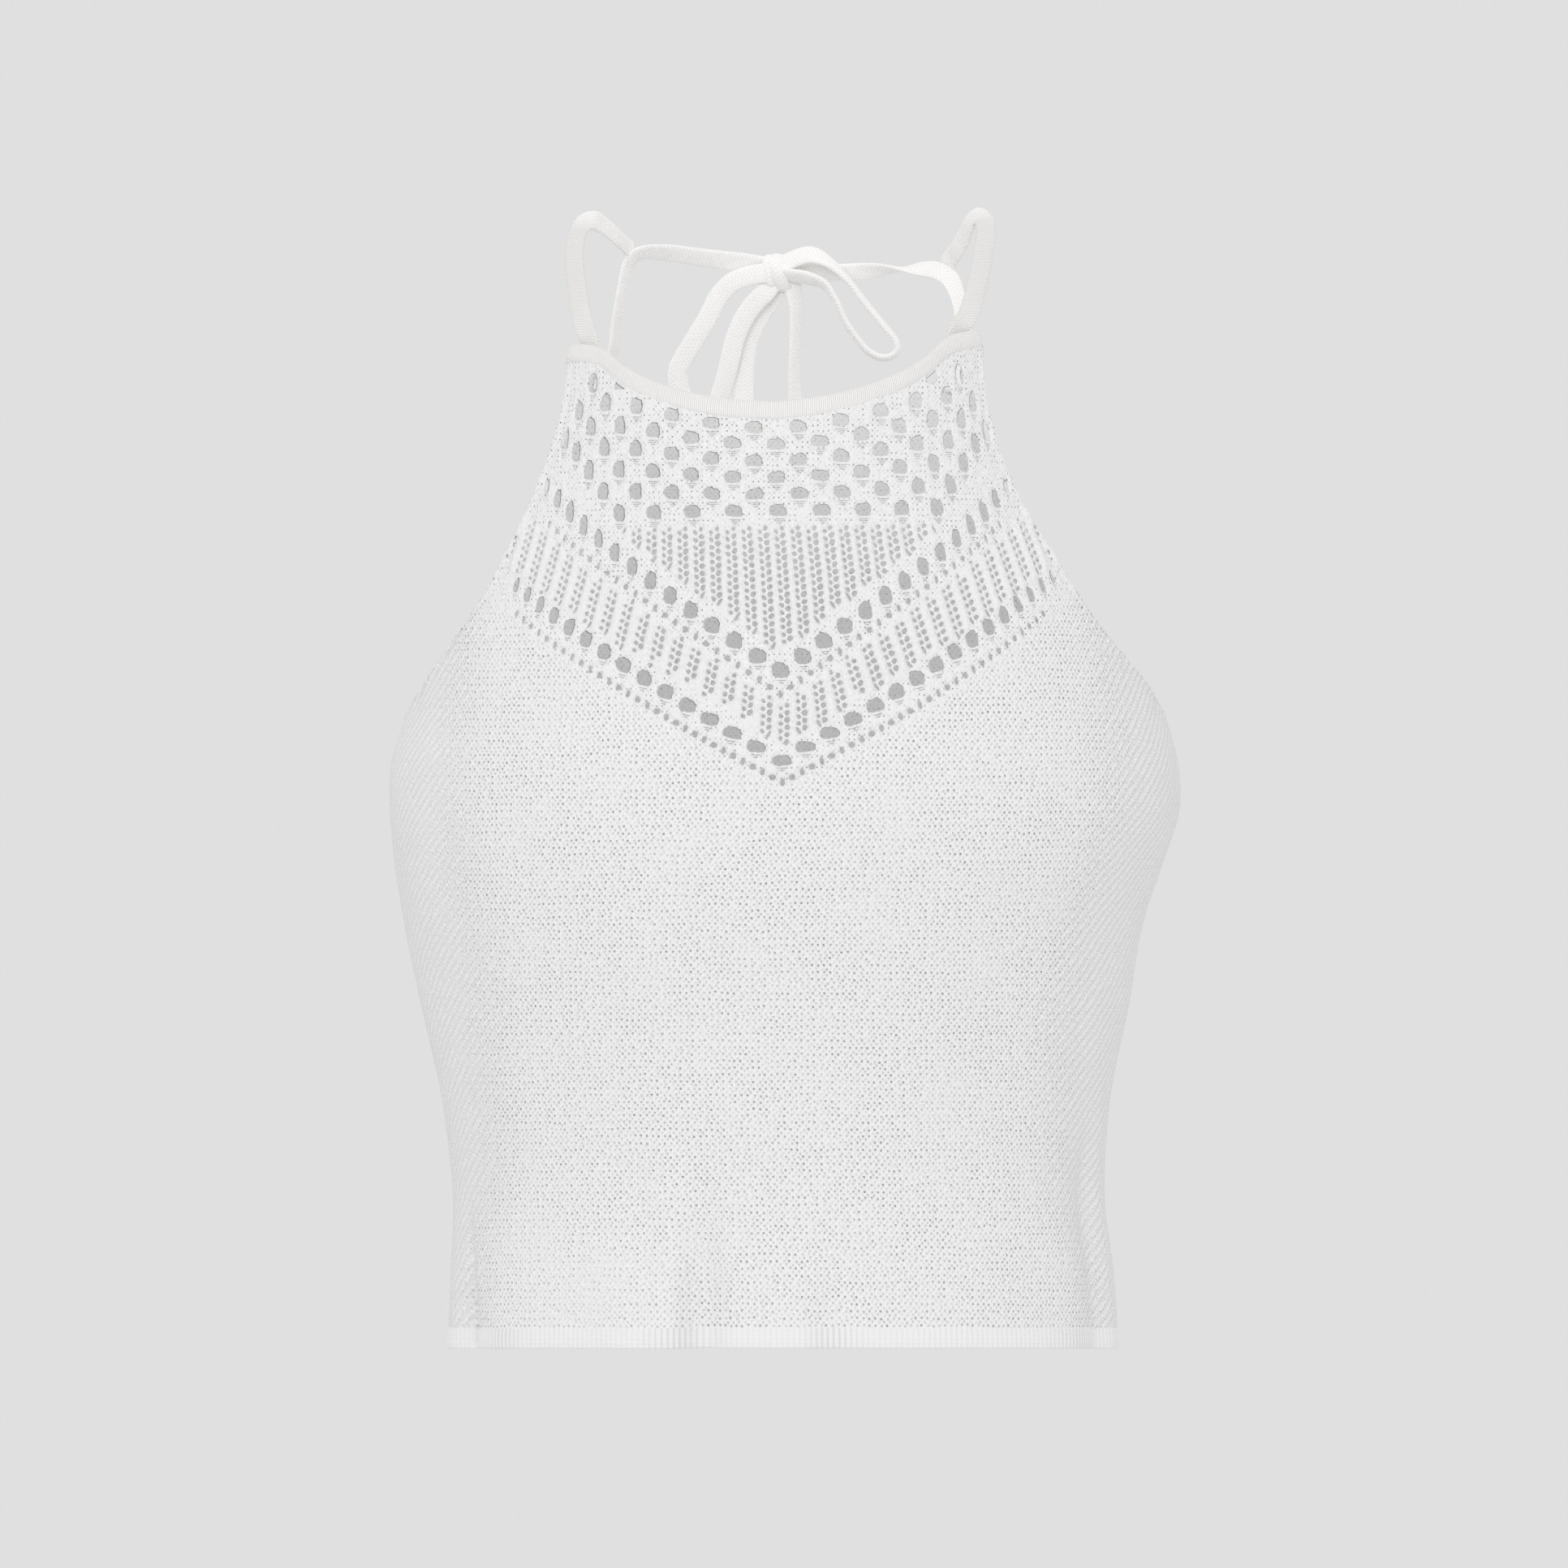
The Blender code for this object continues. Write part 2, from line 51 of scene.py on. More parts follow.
def makeCamera():
    lens = bpy.data.cameras.new("camera")
    lens.sensor_width = view["sensor"]
    lens.lens = view["sensor"] * view["distance"] / view["frameWidth"]
    camera = addObject("camera", lens)
    camera.location = (0, -view["distance"] * mm, view["height"] * mm)
    camera.rotation_euler = (upright, 0, 0)
    bpy.context.scene.camera = camera


makeCamera()
print("camera set")

# The form that every panel lies on: level rings, each an ellipse whose front and back halves
# have their own depth.  A point on a ring has an angle, from -90 at the left side seam
# through 0 at the centre to +90 at the right side seam.
form = {
    "thickness": 1.6, "seamGap": 0.3, "underarm": -191.0, "sideSeam": 90.0, "nudge": 0.05,
    "hemAtSides": -432.6, "hemRise": {"front": 5.0, "back": 1.0}, "ribHeight": 7.4,
    "neckCentre": -74.4, "neckRise": 25.6, "neckTilt": 2.6,
    "bindingHeight": 7.0, "bindingDepth": 3.6, "bindingProud": 1.0,
    "backNeckCentre": -74.0, "backNeckRise": 18.0,
    "wornShift": {"front": 0, "back": 90},      # which stretch of the uneven cloth each side takes
    "ringColumns": ("height", "lean", "halfWidth", "middle", "frontDepth", "backDepth"),
    "rings": (
        (-40, -3.0, 90.5, 13, 80, 42),
        (-75, -3.2, 99.0, 13, 86, 48),
        (-105, -3.0, 111.0, 12, 94, 58),
        (-135, -1.5, 124.5, 8, 99, 71),
        (-163, -0.6, 137.5, 4, 103, 84),
        (-191, 0.6, 144.3, 1, 107, 92),      # underarm
        (-209, 0.2, 149.5, 0, 110, 95),
        (-228, 0.1, 150.3, 0, 111, 96),      # bust
        (-246, -1.9, 146.6, 0, 110, 95),
        (-265, -3.8, 141.8, 0, 107, 92),
        (-302, -3.6, 134.7, 0, 99, 86),
        (-340, -3.1, 127.0, 0, 93, 81),
        (-376, -2.0, 124.2, 0, 90, 79),      # waist
        (-404, -0.9, 126.4, 0, 91, 82),
        (-433, -0.5, 127.4, 0, 92, 86),      # hem
    ),
    "armholeColumns": ("height", "front", "back"),      # how far round the panels reach
    "armhole": (
        (-40, 57.5, 53.0), (-60, 56.5, 53.0), (-80, 54.8, 52.8), (-105, 55.0, 53.5),
        (-135, 58.4, 57.0), (-163, 65.5, 64.0), (-180, 76.5, 75.5), (-188, 84.0, 83.5),
        (-191, 89.9, 89.9),
    ),
    "necklineColumns": ("across", "rise"),
    "neckline": ((0, 0), (0.25, 0.085), (0.5, 0.29), (0.7, 0.58), (0.85, 0.92), (1, 1.02)),
    "foldColumns": ("side", "angle", "width", "depth", "starts", "full"),
    "folds": (      # soft vertical folds that grow towards the hem; a trough's depth is negative
        ("front", -24.0, 7.0, 2.4, -372, -425), ("front", -13.5, 4.5, -3.0, -368, -420),
        ("front", 8.0, 4.5, -1.3, -398, -430), ("front", -69.0, 4.5, -5.0, -380, -424),
        ("front", 70.0, 5.0, -2.6, -335, -370), ("back", -28.0, 8.0, -2.6, -375, -428),
        ("back", 17.0, 6.0, -2.0, -388, -430), ("back", 42.0, 9.0, 2.0, -380, -428),
    ),
}


# Value of a named column at the given places: the cubic curve through a table's rows.
def smooth(table, columns, name, at):
    rows = sorted((row[0], row[columns.index(name)]) for row in table)
    places = np.array([row[0] for row in rows], float)
    values = np.array([row[1] for row in rows], float)
    slopes = np.gradient(values, places)
    at = np.clip(at, places[0], places[-1])
    k = np.clip(np.searchsorted(places, at) - 1, 0, len(places) - 2)
    step = places[k + 1] - places[k]
    t = (at - places[k]) / step
    ease = t * t * (3 - 2 * t)
    lift = (t ** 3 - 2 * t * t + t) * slopes[k] + (t ** 3 - t * t) * slopes[k + 1]
    return values[k] * (1 - ease) + values[k + 1] * ease + step * lift


def ring(name, height):
    return smooth(form["rings"], form["ringColumns"], name, height)


# Soft step from 0 at one place to 1 at another.
def easing(at, low, high):
    t = np.clip((at - low) / (high - low), 0, 1)
    return t * t * (3 - 2 * t)


# A bell curve: 1 at its middle, falling off over its width.
def bell(at, middle, width):
    return np.exp(-0.5 * ((at - middle) / width) ** 2)


# Running length along a line of points.
def runningLength(points):
    return np.concatenate([[0], np.cumsum(np.linalg.norm(np.diff(points, axis=0), axis=1))])


# Running length round a closed section.
def wayRound(x, y):
    return np.concatenate([[0], np.cumsum(np.hypot(np.diff(x, append=x[0]), np.diff(y, append=y[0])))])


# Sum of the folds, each a bell across its angle that eases in from its start to its full height.
def foldOffset(side, angle, height):
    offset = np.zeros(np.broadcast(angle, height).shape)
    for row in form["folds"]:
        fold = dict(zip(form["foldColumns"], row))
        if fold["side"] == side:
            grown = easing(height, fold["starts"], fold["full"])
            offset = offset + fold["depth"] * grown * bell(angle, fold["angle"], fold["width"])
    return offset


# Point of the form: middle + (width sin, depth cos) at its height, moved by the folds.
def ringPoint(side, angle, height):
    facing = -1.0 if side == "front" else 1.0
    fold = foldOffset(side, angle, height)
    turn = np.radians(angle)
    x = ring("lean", height) + (ring("halfWidth", height) + fold) * np.sin(turn)
    y = ring("middle", height) + facing * (ring(side + "Depth", height) + fold) * np.cos(turn)
    return np.stack([x, y, height + 0 * x], axis=-1)


# Point of the form moved out along its normal, which is across the slopes both ways.
def onForm(side, angle, height, out=0.0):
    angle, height = np.broadcast_arrays(np.asarray(angle, float), np.asarray(height, float))
    nudge = form["nudge"]
    along = ringPoint(side, angle + nudge, height) - ringPoint(side, angle - nudge, height)
    up = ringPoint(side, angle, height + nudge) - ringPoint(side, angle, height - nudge)
    normal = np.cross(along, up)
    normal /= np.linalg.norm(normal, axis=-1, keepdims=True)
    facing = 1.0 if side == "front" else -1.0
    return ringPoint(side, angle, height) + np.asarray(out)[..., None] * facing * normal


# Height of the binding's top edge; across runs from -1 at the left corner to +1.
def frontNeckline(across):
    rise = smooth(form["neckline"], form["necklineColumns"], "rise", np.abs(across))
    return form["neckCentre"] + form["neckRise"] * rise + form["neckTilt"] * across


# Height where a panel ends: under the binding in front, at its own scooped edge behind.
def panelTop(side, across):
    if side == "front":
        return frontNeckline(across) - form["bindingHeight"] - form["seamGap"]
    return form["backNeckCentre"] + form["backNeckRise"] * across ** 2


def hemLine(side, angle):
    return form["hemAtSides"] + form["hemRise"][side] * np.cos(np.radians(angle))


def armholeReach(side, height):
    return smooth(form["armhole"], form["armholeColumns"], side, height)


# Angles of one yoke row, and the share of the way across that each is at.
def yokeAngles(side, share, up):
    corner = panelTop(side, np.sign(share))
    reach = armholeReach(side, form["underarm"] + up * (corner - form["underarm"]))
    return share * reach, np.sin(np.radians(share * reach)) / np.sin(np.radians(reach))


# Slow unevenness of worn cloth: a few crossed waves, in mm of height.
unevenness = (      # waves a metre across and up, phase, height
    (11, 4, 0.4, 0.22), (-7, 9, 1.9, 0.18), (17, -6, 2.7, 0.12), (23, 15, 4.1, 0.08), (-29, 21, 5.0, 0.05),
)


def unevenCloth(across, up):
    total = 0
    for crosswise, upwards, phase, height in unevenness:
        total = total + height * np.sin(2 * np.pi * mm * (crosswise * across + upwards * up) + phase)
    return total


# Quads of a grid of rows by columns; a wrapped grid joins its last column or row to the first.
def gridQuads(rows, columns, wrapColumns=False, wrapRows=False):
    i = np.arange(rows if wrapRows else rows - 1)[:, None]
    j = np.arange(columns if wrapColumns else columns - 1)[None, :]
    iNext, jNext = (i + 1) % rows, (j + 1) % columns
    corners = (i * columns + j, i * columns + jNext, iNext * columns + jNext, iNext * columns + j)
    return np.stack(np.broadcast_arrays(*corners), axis=-1).reshape(-1, 4)


# The same quads' corners on the cloth, from the place of every column and row; one more place
# than columns or rows closes a wrapped grid.
def gridCorners(columnPlaces, rowPlaces):
    u0, v0 = np.meshgrid(columnPlaces[:-1], rowPlaces[:-1])
    u1, v1 = np.meshgrid(columnPlaces[1:], rowPlaces[1:])
    return np.stack([u0, v0, u1, v0, u1, v1, u0, v1], axis=-1).reshape(-1, 2)


# One piece of the garment: its mesh with the place on the cloth of each corner, in metres.
# A mesh whose volume comes out negative is turned inside out.
def addPiece(name, points, faces, finish, cloth):
    mesh = bpy.data.meshes.new(name)
    mesh.from_pydata((points * mm).tolist(), [], faces)
    corner = np.empty(len(mesh.loops), np.int32)
    mesh.loops.foreach_get("vertex_index", corner)
    if len(cloth) == len(points):
        cloth = cloth[corner]
    layer = mesh.uv_layers.new(name="cloth")
    layer.data.foreach_set("uv", (cloth * mm).astype(np.float32).ravel())
    mesh.materials.append(finish)
    mesh.shade_smooth()
    triangles = np.array([(f[0], f[i], f[i + 1]) for f in faces for i in range(1, len(f) - 1)])
    a, b, c = (points[triangles[:, k]] for k in range(3))
    if np.einsum("ij,ij->i", a, np.cross(b, c)).sum() < 0:
        mesh.flip_normals()
    piece = addObject(name, mesh)
    print(name, len(triangles), "triangles")
    return piece


# A named value at every point of a piece.
def addValues(piece, name, values):
    made = piece.data.attributes.new(name, "FLOAT", "POINT")
    made.data.foreach_set("value", np.asarray(values, np.float32))


# Keeps the edges between the marked points sharp, so that the face beside them isn't shaded round.
def keepSharp(piece, marked):
    ends = np.empty(2 * len(piece.data.edges), np.int32)
    piece.data.edges.foreach_get("vertices", ends)
    sharp = piece.data.attributes.new("sharp_edge", "BOOLEAN", "EDGE")
    sharp.data.foreach_set("value", marked[ends.reshape(-1, 2)].all(axis=1))


# The two end faces of a tube.
def capFaces(stations, sides):
    last = (stations - 1) * sides
    return [list(range(sides))[::-1], list(range(last, last + sides))]


# A closed tube through ring-shaped sections, capped at both ends.
def addTube(name, sections, finish, around, along):
    stations, sides = sections.shape[:2]
    faces = gridQuads(stations, sides, wrapColumns=True).tolist() + capFaces(stations, sides)
    near, far = (np.stack([around[:-1], np.full(sides, place)], axis=-1) for place in (along[0], along[-1]))
    cloth = np.vstack([gridCorners(around, along), near[::-1], far])
    return addPiece(name, sections.reshape(-1, 3), faces, finish, cloth)


# A cloth wall between an outer and an inner grid of points, joined round the rim.
def addWall(name, outer, inner, finish, across, up):
    rows, columns = outer.shape[:2]
    count = rows * columns
    quads = gridQuads(rows, columns)
    index = np.arange(count).reshape(rows, columns)
    rim = np.concatenate([index[0, :-1], index[:-1, -1], index[-1, :0:-1], index[:0:-1, 0]])
    after = np.roll(rim, -1)
    faces = np.vstack([quads, quads[:, ::-1] + count,
                       np.stack([after, rim, rim + count, after + count], axis=-1)]).tolist()
    points = np.vstack([outer.reshape(-1, 3), inner.reshape(-1, 3)])
    cloth = np.tile(np.stack([across, up], axis=-1).reshape(-1, 2), (2, 1))
    piece = addPiece(name, points, faces, finish, cloth)
    addValues(piece, "outside", np.arange(2 * count) < count)
    return piece


# What a shader node puts out.  Sums and products of such values make the Math nodes for them.
class Value:
    def __init__(self, tree, socket):
        self.tree = tree
        self.socket = socket

    def __add__(self, other):
        return calc("ADD", self, other)

    def __mul__(self, other):
        return calc("MULTIPLY", self, other)

    def __sub__(self, other):
        return calc("SUBTRACT", self, other)

    def __rsub__(self, other):
        return calc("SUBTRACT", other, self)

    def __truediv__(self, other):
        return calc("DIVIDE", self, other)

    def beside(self, name):      # another output of the same node
        return Value(self.tree, self.socket.node.outputs[name])

    __radd__ = __add__
    __rmul__ = __mul__


# Gives an input a number, a tuple or a value.
def feed(tree, socket, value):
    if isinstance(value, Value):
        tree.links.new(value.socket, socket)
    else:
        socket.default_value = value


# A new node with its settings, then its inputs by name or place; one of its outputs comes back.
def addNode(tree, kind, inputs, output=0, **settings):
    node = tree.nodes.new("ShaderNode" + kind)
    for name, setting in settings.items():
        setattr(node, name, setting)
    for place, value in inputs.items():
        feed(tree, node.inputs[place], value)
    return Value(tree, node.outputs[output])


def calc(operation, *values):
    tree = next(value.tree for value in values if isinstance(value, Value))
    return addNode(tree, "Math", dict(enumerate(values)), operation=operation)


# Cosine wave that repeats at every whole number.
def wave(value):
    return calc("COSINE", value * (2 * np.pi))


# Soft step of a value from 0 at low to 1 at high.
def softStep(value, low, high):
    return addNode(value.tree, "MapRange", {"Value": value, "From Min": low, "From Max": high}, "Result",
                   interpolation_type="SMOOTHSTEP")


def mixColour(share, first, second):
    return addNode(share.tree, "Mix", {0: share, 6: first, 7: second}, 2, data_type="RGBA")


def noise(vector, scale, detail=2.0):
    return addNode(vector.tree, "TexNoise", {"Vector": vector, "Scale": scale, "Detail": detail}, "Fac")


def attribute(tree, name):
    return addNode(tree, "Attribute", {}, "Fac", attribute_name=name)


# The x, y and z of a vector.
def splitUp(vector):
    x = addNode(vector.tree, "SeparateXYZ", {0: vector}, "X")
    return x, x.beside("Y"), x.beside("Z")


# An empty node group: its inputs come back as values, its outputs as sockets to feed.
def newGroup(name, inputs, outputs):
    group = bpy.data.node_groups.new(name, "ShaderNodeTree")
    for way, sockets in (("INPUT", inputs), ("OUTPUT", outputs)):
        for label, kind in sockets.items():
            group.interface.new_socket(label, in_out=way, socket_type="NodeSocket" + kind)
    given = group.nodes.new("NodeGroupInput").outputs
    out = group.nodes.new("NodeGroupOutput").inputs
    return group, {label: Value(group, given[label]) for label in inputs}, out


def useGroup(group, cloth, output, **values):
    return addNode(cloth.tree, "Group", {"Cloth": cloth, **values}, output, node_tree=group)


# A gap's centre lies from nearest to nearest + astray of the way across its stitch.  Soft is the
# share of its size that is fully dark, and swell the height of the loops between the gaps.
stitch = {"astray": 0.3, "nearest": 0.35, "soft": 0.3, "swell": 0.25}


# Staggered stitches: a lattice with every other row moved half a step.  Each lattice point has a
# small gap between its loops, of uneven strength, and the loops between the gaps swell.
def makeStitchGroup():
    numbers = ("Step", "Row", "Gap", "Unevenness", "Between", "Oblique")
    group, given, out = newGroup("staggeredStitches", {"Cloth": "Vector", **dict.fromkeys(numbers, "Float")},
                                 {"Gaps": "Float", "Swell": "Float"})
    across, up, _ = splitUp(given["Cloth"])
    across = across / given["Step"]
    rows = up / given["Row"]
    row = calc("FLOOR", rows)
    odd = calc("FLOORED_MODULO", row, 2.0)
    columns = across + odd * 0.5
    cell = addNode(group, "CombineXYZ", {0: calc("FLOOR", columns), 1: row})
    chance = addNode(group, "TexWhiteNoise", {"Vector": cell}, "Value")
    right, high, _ = splitUp(chance.beside("Color"))
    aside, above = ((calc("FRACT", place) - (shift * stitch["astray"] + stitch["nearest"])) * given[size]
                    for place, shift, size in ((columns, right, "Step"), (rows, high, "Row")))
    far = calc("SQRT", aside * aside + above * above)
    strength = (1.0 - chance * given["Unevenness"]) * (1.0 - odd * (1.0 - given["Between"]))
    feed(group, out["Gaps"], softStep(far / given["Gap"], 1.0, stitch["soft"]) * strength)
    swell = wave(columns) * wave(rows) + wave(rows * -0.5 + across) * given["Oblique"]
    feed(group, out["Swell"], swell * stitch["swell"] + 0.5)
    return group


# Braid: columns of slanting loops, each column leaning the other way from the one beside it.
def makeBraidGroup():
    group, given, out = newGroup("braid", {"Cloth": "Vector", "Column": "Float", "Loop": "Float"},
                                 {"Height": "Float"})
    across, up, _ = splitUp(given["Cloth"])
    columns = across / given["Column"]
    phase = up / given["Loop"] + calc("PINGPONG", columns, 1.0) * 0.9
    loops, threads = (wave(place) * -0.5 + 0.5 for place in (phase, columns))
    feed(group, out["Height"], loops * (threads * 0.6 + 0.4))
    return group


# Cloth coordinates that wander a little, so that no row of stitches is ruled.
def makeWanderGroup():
    group, given, out = newGroup("wanderingRows", {"Cloth": "Vector", "Amount": "Float", "Scale": "Float"},
                                 {"Cloth": "Vector"})
    drift = addNode(group, "TexNoise", {"Vector": given["Cloth"], "Scale": given["Scale"]}, "Color")
    centred = addNode(group, "VectorMath", {0: drift, 1: (0.5, 0.5, 0.5)}, operation="SUBTRACT")
    amount = addNode(group, "CombineXYZ", {0: given["Amount"], 1: given["Amount"]})
    moved = addNode(group, "VectorMath", {0: centred, 1: amount, 2: given["Cloth"]}, operation="MULTIPLY_ADD")
    feed(group, out["Cloth"], moved)
    return group


stitchGroup = makeStitchGroup()
braidGroup = makeBraidGroup()
wanderGroup = makeWanderGroup()


# A material with a Principled shader, and the piece's own cloth coordinates.
def newMaterial(name, roughness, sheen):
    made = bpy.data.materials.new(name)
    made.use_nodes = True
    shader = made.node_tree.nodes["Principled BSDF"]
    for label, value in (("Roughness", roughness), ("Sheen Weight", sheen), ("Sheen Roughness", 0.5),
                         ("Specular IOR Level", 0.2)):
        shader.inputs[label].default_value = value
    return made, shader, addNode(made.node_tree, "UVMap", {}, uv_map="cloth")


# Gives a shader its colour, and a relief that stands up by the distance.
def dress(shader, colour, height, distance):
    feed(colour.tree, shader.inputs["Base Color"], colour)
    bump = addNode(colour.tree, "Bump", {"Distance": distance, "Height": height})
    feed(colour.tree, shader.inputs["Normal"], bump)


knit = {
    "roughness": 0.92, "sheen": 0.08, "relief": 0.5 * mm,
    # the gap colour is painted shade in the gaps between the loops
    "white": (0.885, 0.88, 0.88, 1), "gap": (0.36, 0.36, 0.36, 1), "shade": (0.835, 0.83, 0.83, 1),
    "lining": (0.86, 0.86, 0.855, 1), "innerShare": 0.4,
    # step along a row, height of a row, size of a gap, its unevenness, strength of every other
    # row, and how much the swelling slants
    "body": (2.26 * mm, 1.325 * mm, 0.56 * mm, 0.6, 0.6, 0.35),
    "yoke": (1.9 * mm, 1.05 * mm, 0.38 * mm, 1.1, 0.4, 0.4),
    "wander": {"Amount": 1.6 * mm, "Scale": 60.0}, "patchScale": 38.0, "mottleScale": 850.0,
    "fuzzScale": 2600.0,
    "slantAcross": 5.0 * mm, "slantUp": 4.4 * mm, "ridgesFrom": 88 * mm, "ridgesFull": 126 * mm,
    "ridgesLater": 20 * mm, "laterBelow": (70 * mm, 20 * mm), "laterAbove": (130 * mm, 220 * mm),
    # the groove shade is painted shade in the grooves between the slanting ridges
    "gapsUntil": 16 * mm, "ridge": 0.45, "paintedGrooveShade": 0.22,
    # how far the gaps are shut where the ridges show, in the ladders and in the patch at the hem
    "shutAside": 0.8, "shutInLadder": 0.75, "shutInPatch": 0.3,
}


# Gaps and swelling of one kind of stitches.
def stitches(rows, name):
    step, row, gap, uneven, between, oblique = knit[name]
    gaps = useGroup(stitchGroup, rows, "Gaps", Step=step, Row=row, Gap=gap, Unevenness=uneven,
                    Between=between, Oblique=oblique)
    return gaps, gaps.beside("Swell")


# Plain knit: staggered gaps in the body, which close round the sides where slanting ridges show
# instead, finer gaps in the yoke where the "lace" value is 1, and a flatter inner face where the
# "outside" value is 0.  The ridges begin further round near the hem and above the bust.  The
# gaps and the grooves between the ridges are darkened in the base colour with painted shade.
def makeKnit(name, lace):
    made, shader, cloth = newMaterial(name, knit["roughness"], knit["sheen"])
    tree = made.node_tree
    rows = useGroup(wanderGroup, cloth, "Cloth", **knit["wander"])
    across, up, _ = splitUp(cloth)
    later = softStep(up, *knit["laterBelow"]) + softStep(up, *knit["laterAbove"])
    reach = calc("ABSOLUTE", across) - later * knit["ridgesLater"]
    aside = softStep(reach, knit["ridgesFrom"], knit["ridgesFull"])
    shut = softStep(reach - knit["gapsUntil"], knit["ridgesFrom"], knit["ridgesFull"])
    gaps, swell = stitches(rows, "body")
    gaps = gaps * (1.0 - shut * knit["shutAside"])
    if lace:
        fine, fineSwell = stitches(rows, "yoke")
        inLace = attribute(tree, "lace")
        gaps = gaps * (1.0 - attribute(tree, "closed") * knit["shutInPatch"])
        gaps = mixColour(inLace, gaps, fine * (1.0 - attribute(tree, "ladder") * knit["shutInLadder"]))
        drawn = addNode(tree, "Mapping", {"Vector": cloth, "Scale": (1, 0.2, 1)})
        streaks = noise(drawn, 1500.0, 1.0) * 1.6 - 0.3
        swell = mixColour(inLace, swell, fineSwell * 0.5 + streaks)
    outside = softStep(attribute(tree, "outside"), 0.3, 0.7)
    share = outside * (1 - knit["innerShare"]) + knit["innerShare"]
    wanderedAcross, wanderedUp, _ = splitUp(rows)
    ridges = wave(wanderedAcross / knit["slantAcross"] - wanderedUp / knit["slantUp"]) * aside
    legs = wave(wanderedUp / knit["body"][1])
    steady = softStep(noise(cloth, knit["patchScale"], 3.0), 0.25, 0.65) * 0.6 + 0.4
    mottle = noise(cloth, knit["mottleScale"])
    tone = mixColour(softStep(mottle, 0.35, 0.7), knit["white"], knit["shade"])
    # painted shade: the grooves between the ridges and the gaps between the loops darken the base colour
    groove = softStep(ridges, 0.1, -1.0) * (0.65 - legs * 0.35)
    paintedShade = groove * knit["paintedGrooveShade"] + gaps * steady
    colour = mixColour(paintedShade * share, mixColour(outside, knit["lining"], tone), knit["gap"])
    height = swell * 0.5 + noise(cloth, knit["fuzzScale"]) * 0.25 + mottle * 0.8
    height = height + ridges * (legs * 0.3 + 1.0) * knit["ridge"] - gaps
    dress(shader, colour, height * share, knit["relief"])
    return made


rib = {"white": (0.85, 0.845, 0.845, 1), "groove": (0.66, 0.655, 0.66, 1), "row": 1.3 * mm,
       "pitch": 2.15 * mm, "relief": 0.15 * mm,
       "deeperShadeAt": ((58, 14), (135, 18), (193, 15), (300, 24))}      # mm along the hem, reach


# Ribbing: its ridges are in the mesh.  The grooves between them get painted shade, deeper at a
# few listed places along the hem, and fine courses cross the ridges.
def makeRibMaterial():
    made, shader, cloth = newMaterial("ribKnit", knit["roughness"], knit["sheen"])
    across, along, _ = splitUp(cloth)
    ridge = calc("POWER", calc("ABSOLUTE", calc("SINE", along / rib["pitch"] * np.pi)), 0.7)
    deeperShade = sum(softStep(calc("ABSOLUTE", along - middle * mm), reach * mm, 0.0)
                    for middle, reach in rib["deeperShadeAt"])
    # painted shade in the grooves, deeper at the listed places
    paintedShade = (1.0 - ridge) * (deeperShade * 0.75 + 0.25)
    courses = calc("SINE", across / rib["row"] * (2 * np.pi))
    tone = mixColour(paintedShade, rib["white"], rib["groove"])
    dress(shader, tone, courses * 0.3 + noise(cloth, knit["fuzzScale"]), rib["relief"])
    return made


# the dark tone of each tape is painted shade between its loops
tapeLooks = {      # light and dark tone, column and loop of the braid, height of its relief
    "strapKnit": ((0.845, 0.835, 0.815, 1), (0.60, 0.59, 0.57, 1), 1.0 * mm, 1.25 * mm, 0.12 * mm),
    # the ties' tones are set paler than the straps' as painted light, against the shade they lie in behind
    # the neck
    "braidedTape": ((0.985, 0.98, 0.965, 1), (0.89, 0.88, 0.865, 1), 1.3 * mm, 1.6 * mm, 0.10 * mm),
}
# painted light: past this reach along the strap, its rear run is coloured as pale as the ties
strapPaintedLight = {"from": 70 * mm, "to": 84 * mm}      # the straps turn as pale as the ties behind the neck


# Tape: braided loops, light on top, with painted shade between them; the straps' rear runs take the ties'
# paler tones as painted light.
def makeTapeMaterial(name):
    made, shader, cloth = newMaterial(name, 0.88, 0.1)
    light, paintedShade, column, loop, height = tapeLooks[name]
    loops = useGroup(braidGroup, cloth, "Height", Column=column, Loop=loop)
    swell = softStep(loops, 0.0, 0.22)
    tone = mixColour(swell, paintedShade, light)
    if name == "strapKnit":
        pale, shade = tapeLooks["braidedTape"][:2]
        # painted light on the strap's rear run, which faces away from the lamps
        paintedLightShare = softStep(splitUp(cloth)[1], strapPaintedLight["from"], strapPaintedLight["to"])
        tone = mixColour(paintedLightShare, tone, mixColour(swell, shade, pale))
    dress(shader, tone, loops, height)
    return made


bindingLook = {"cream": (0.905, 0.895, 0.88, 1), "shade": (0.81, 0.80, 0.78, 1), "line": 0.8 * mm,
               "relief": 0.2 * mm, "wander": {"Amount": 0.5 * mm, "Scale": 150.0}}


# Binding: fine courses that run across the band, each a thread wide, with painted shade between them.
def makeBindingMaterial():
    made, shader, cloth = newMaterial("bindingKnit", 0.9, knit["sheen"])
    rows = useGroup(wanderGroup, cloth, "Cloth", **bindingLook["wander"])
    lines = calc("ABSOLUTE", calc("SINE", splitUp(rows)[1] / bindingLook["line"] * np.pi))
    lines = calc("POWER", lines, 0.8)
    # the shade tone is painted shade in the grooves between the courses
    dress(shader, mixColour(lines, bindingLook["shade"], bindingLook["cream"]), lines, bindingLook["relief"])
    return made


frontKnit = makeKnit("yokeAndBodyKnit", True)
backKnit = makeKnit("plainKnit", False)
ribKnit = makeRibMaterial()
strapFinish = makeTapeMaterial("strapKnit")
tapeFinish = makeTapeMaterial("braidedTape")
bindingFinish = makeBindingMaterial()
print("materials made")

# The tapes: flat braided cords, each along its own route.
tape = {"width": 7.8, "thickness": 1.3, "step": 0.9, "sides": 20, "squareness": 2.7, "endRound": 0.8}


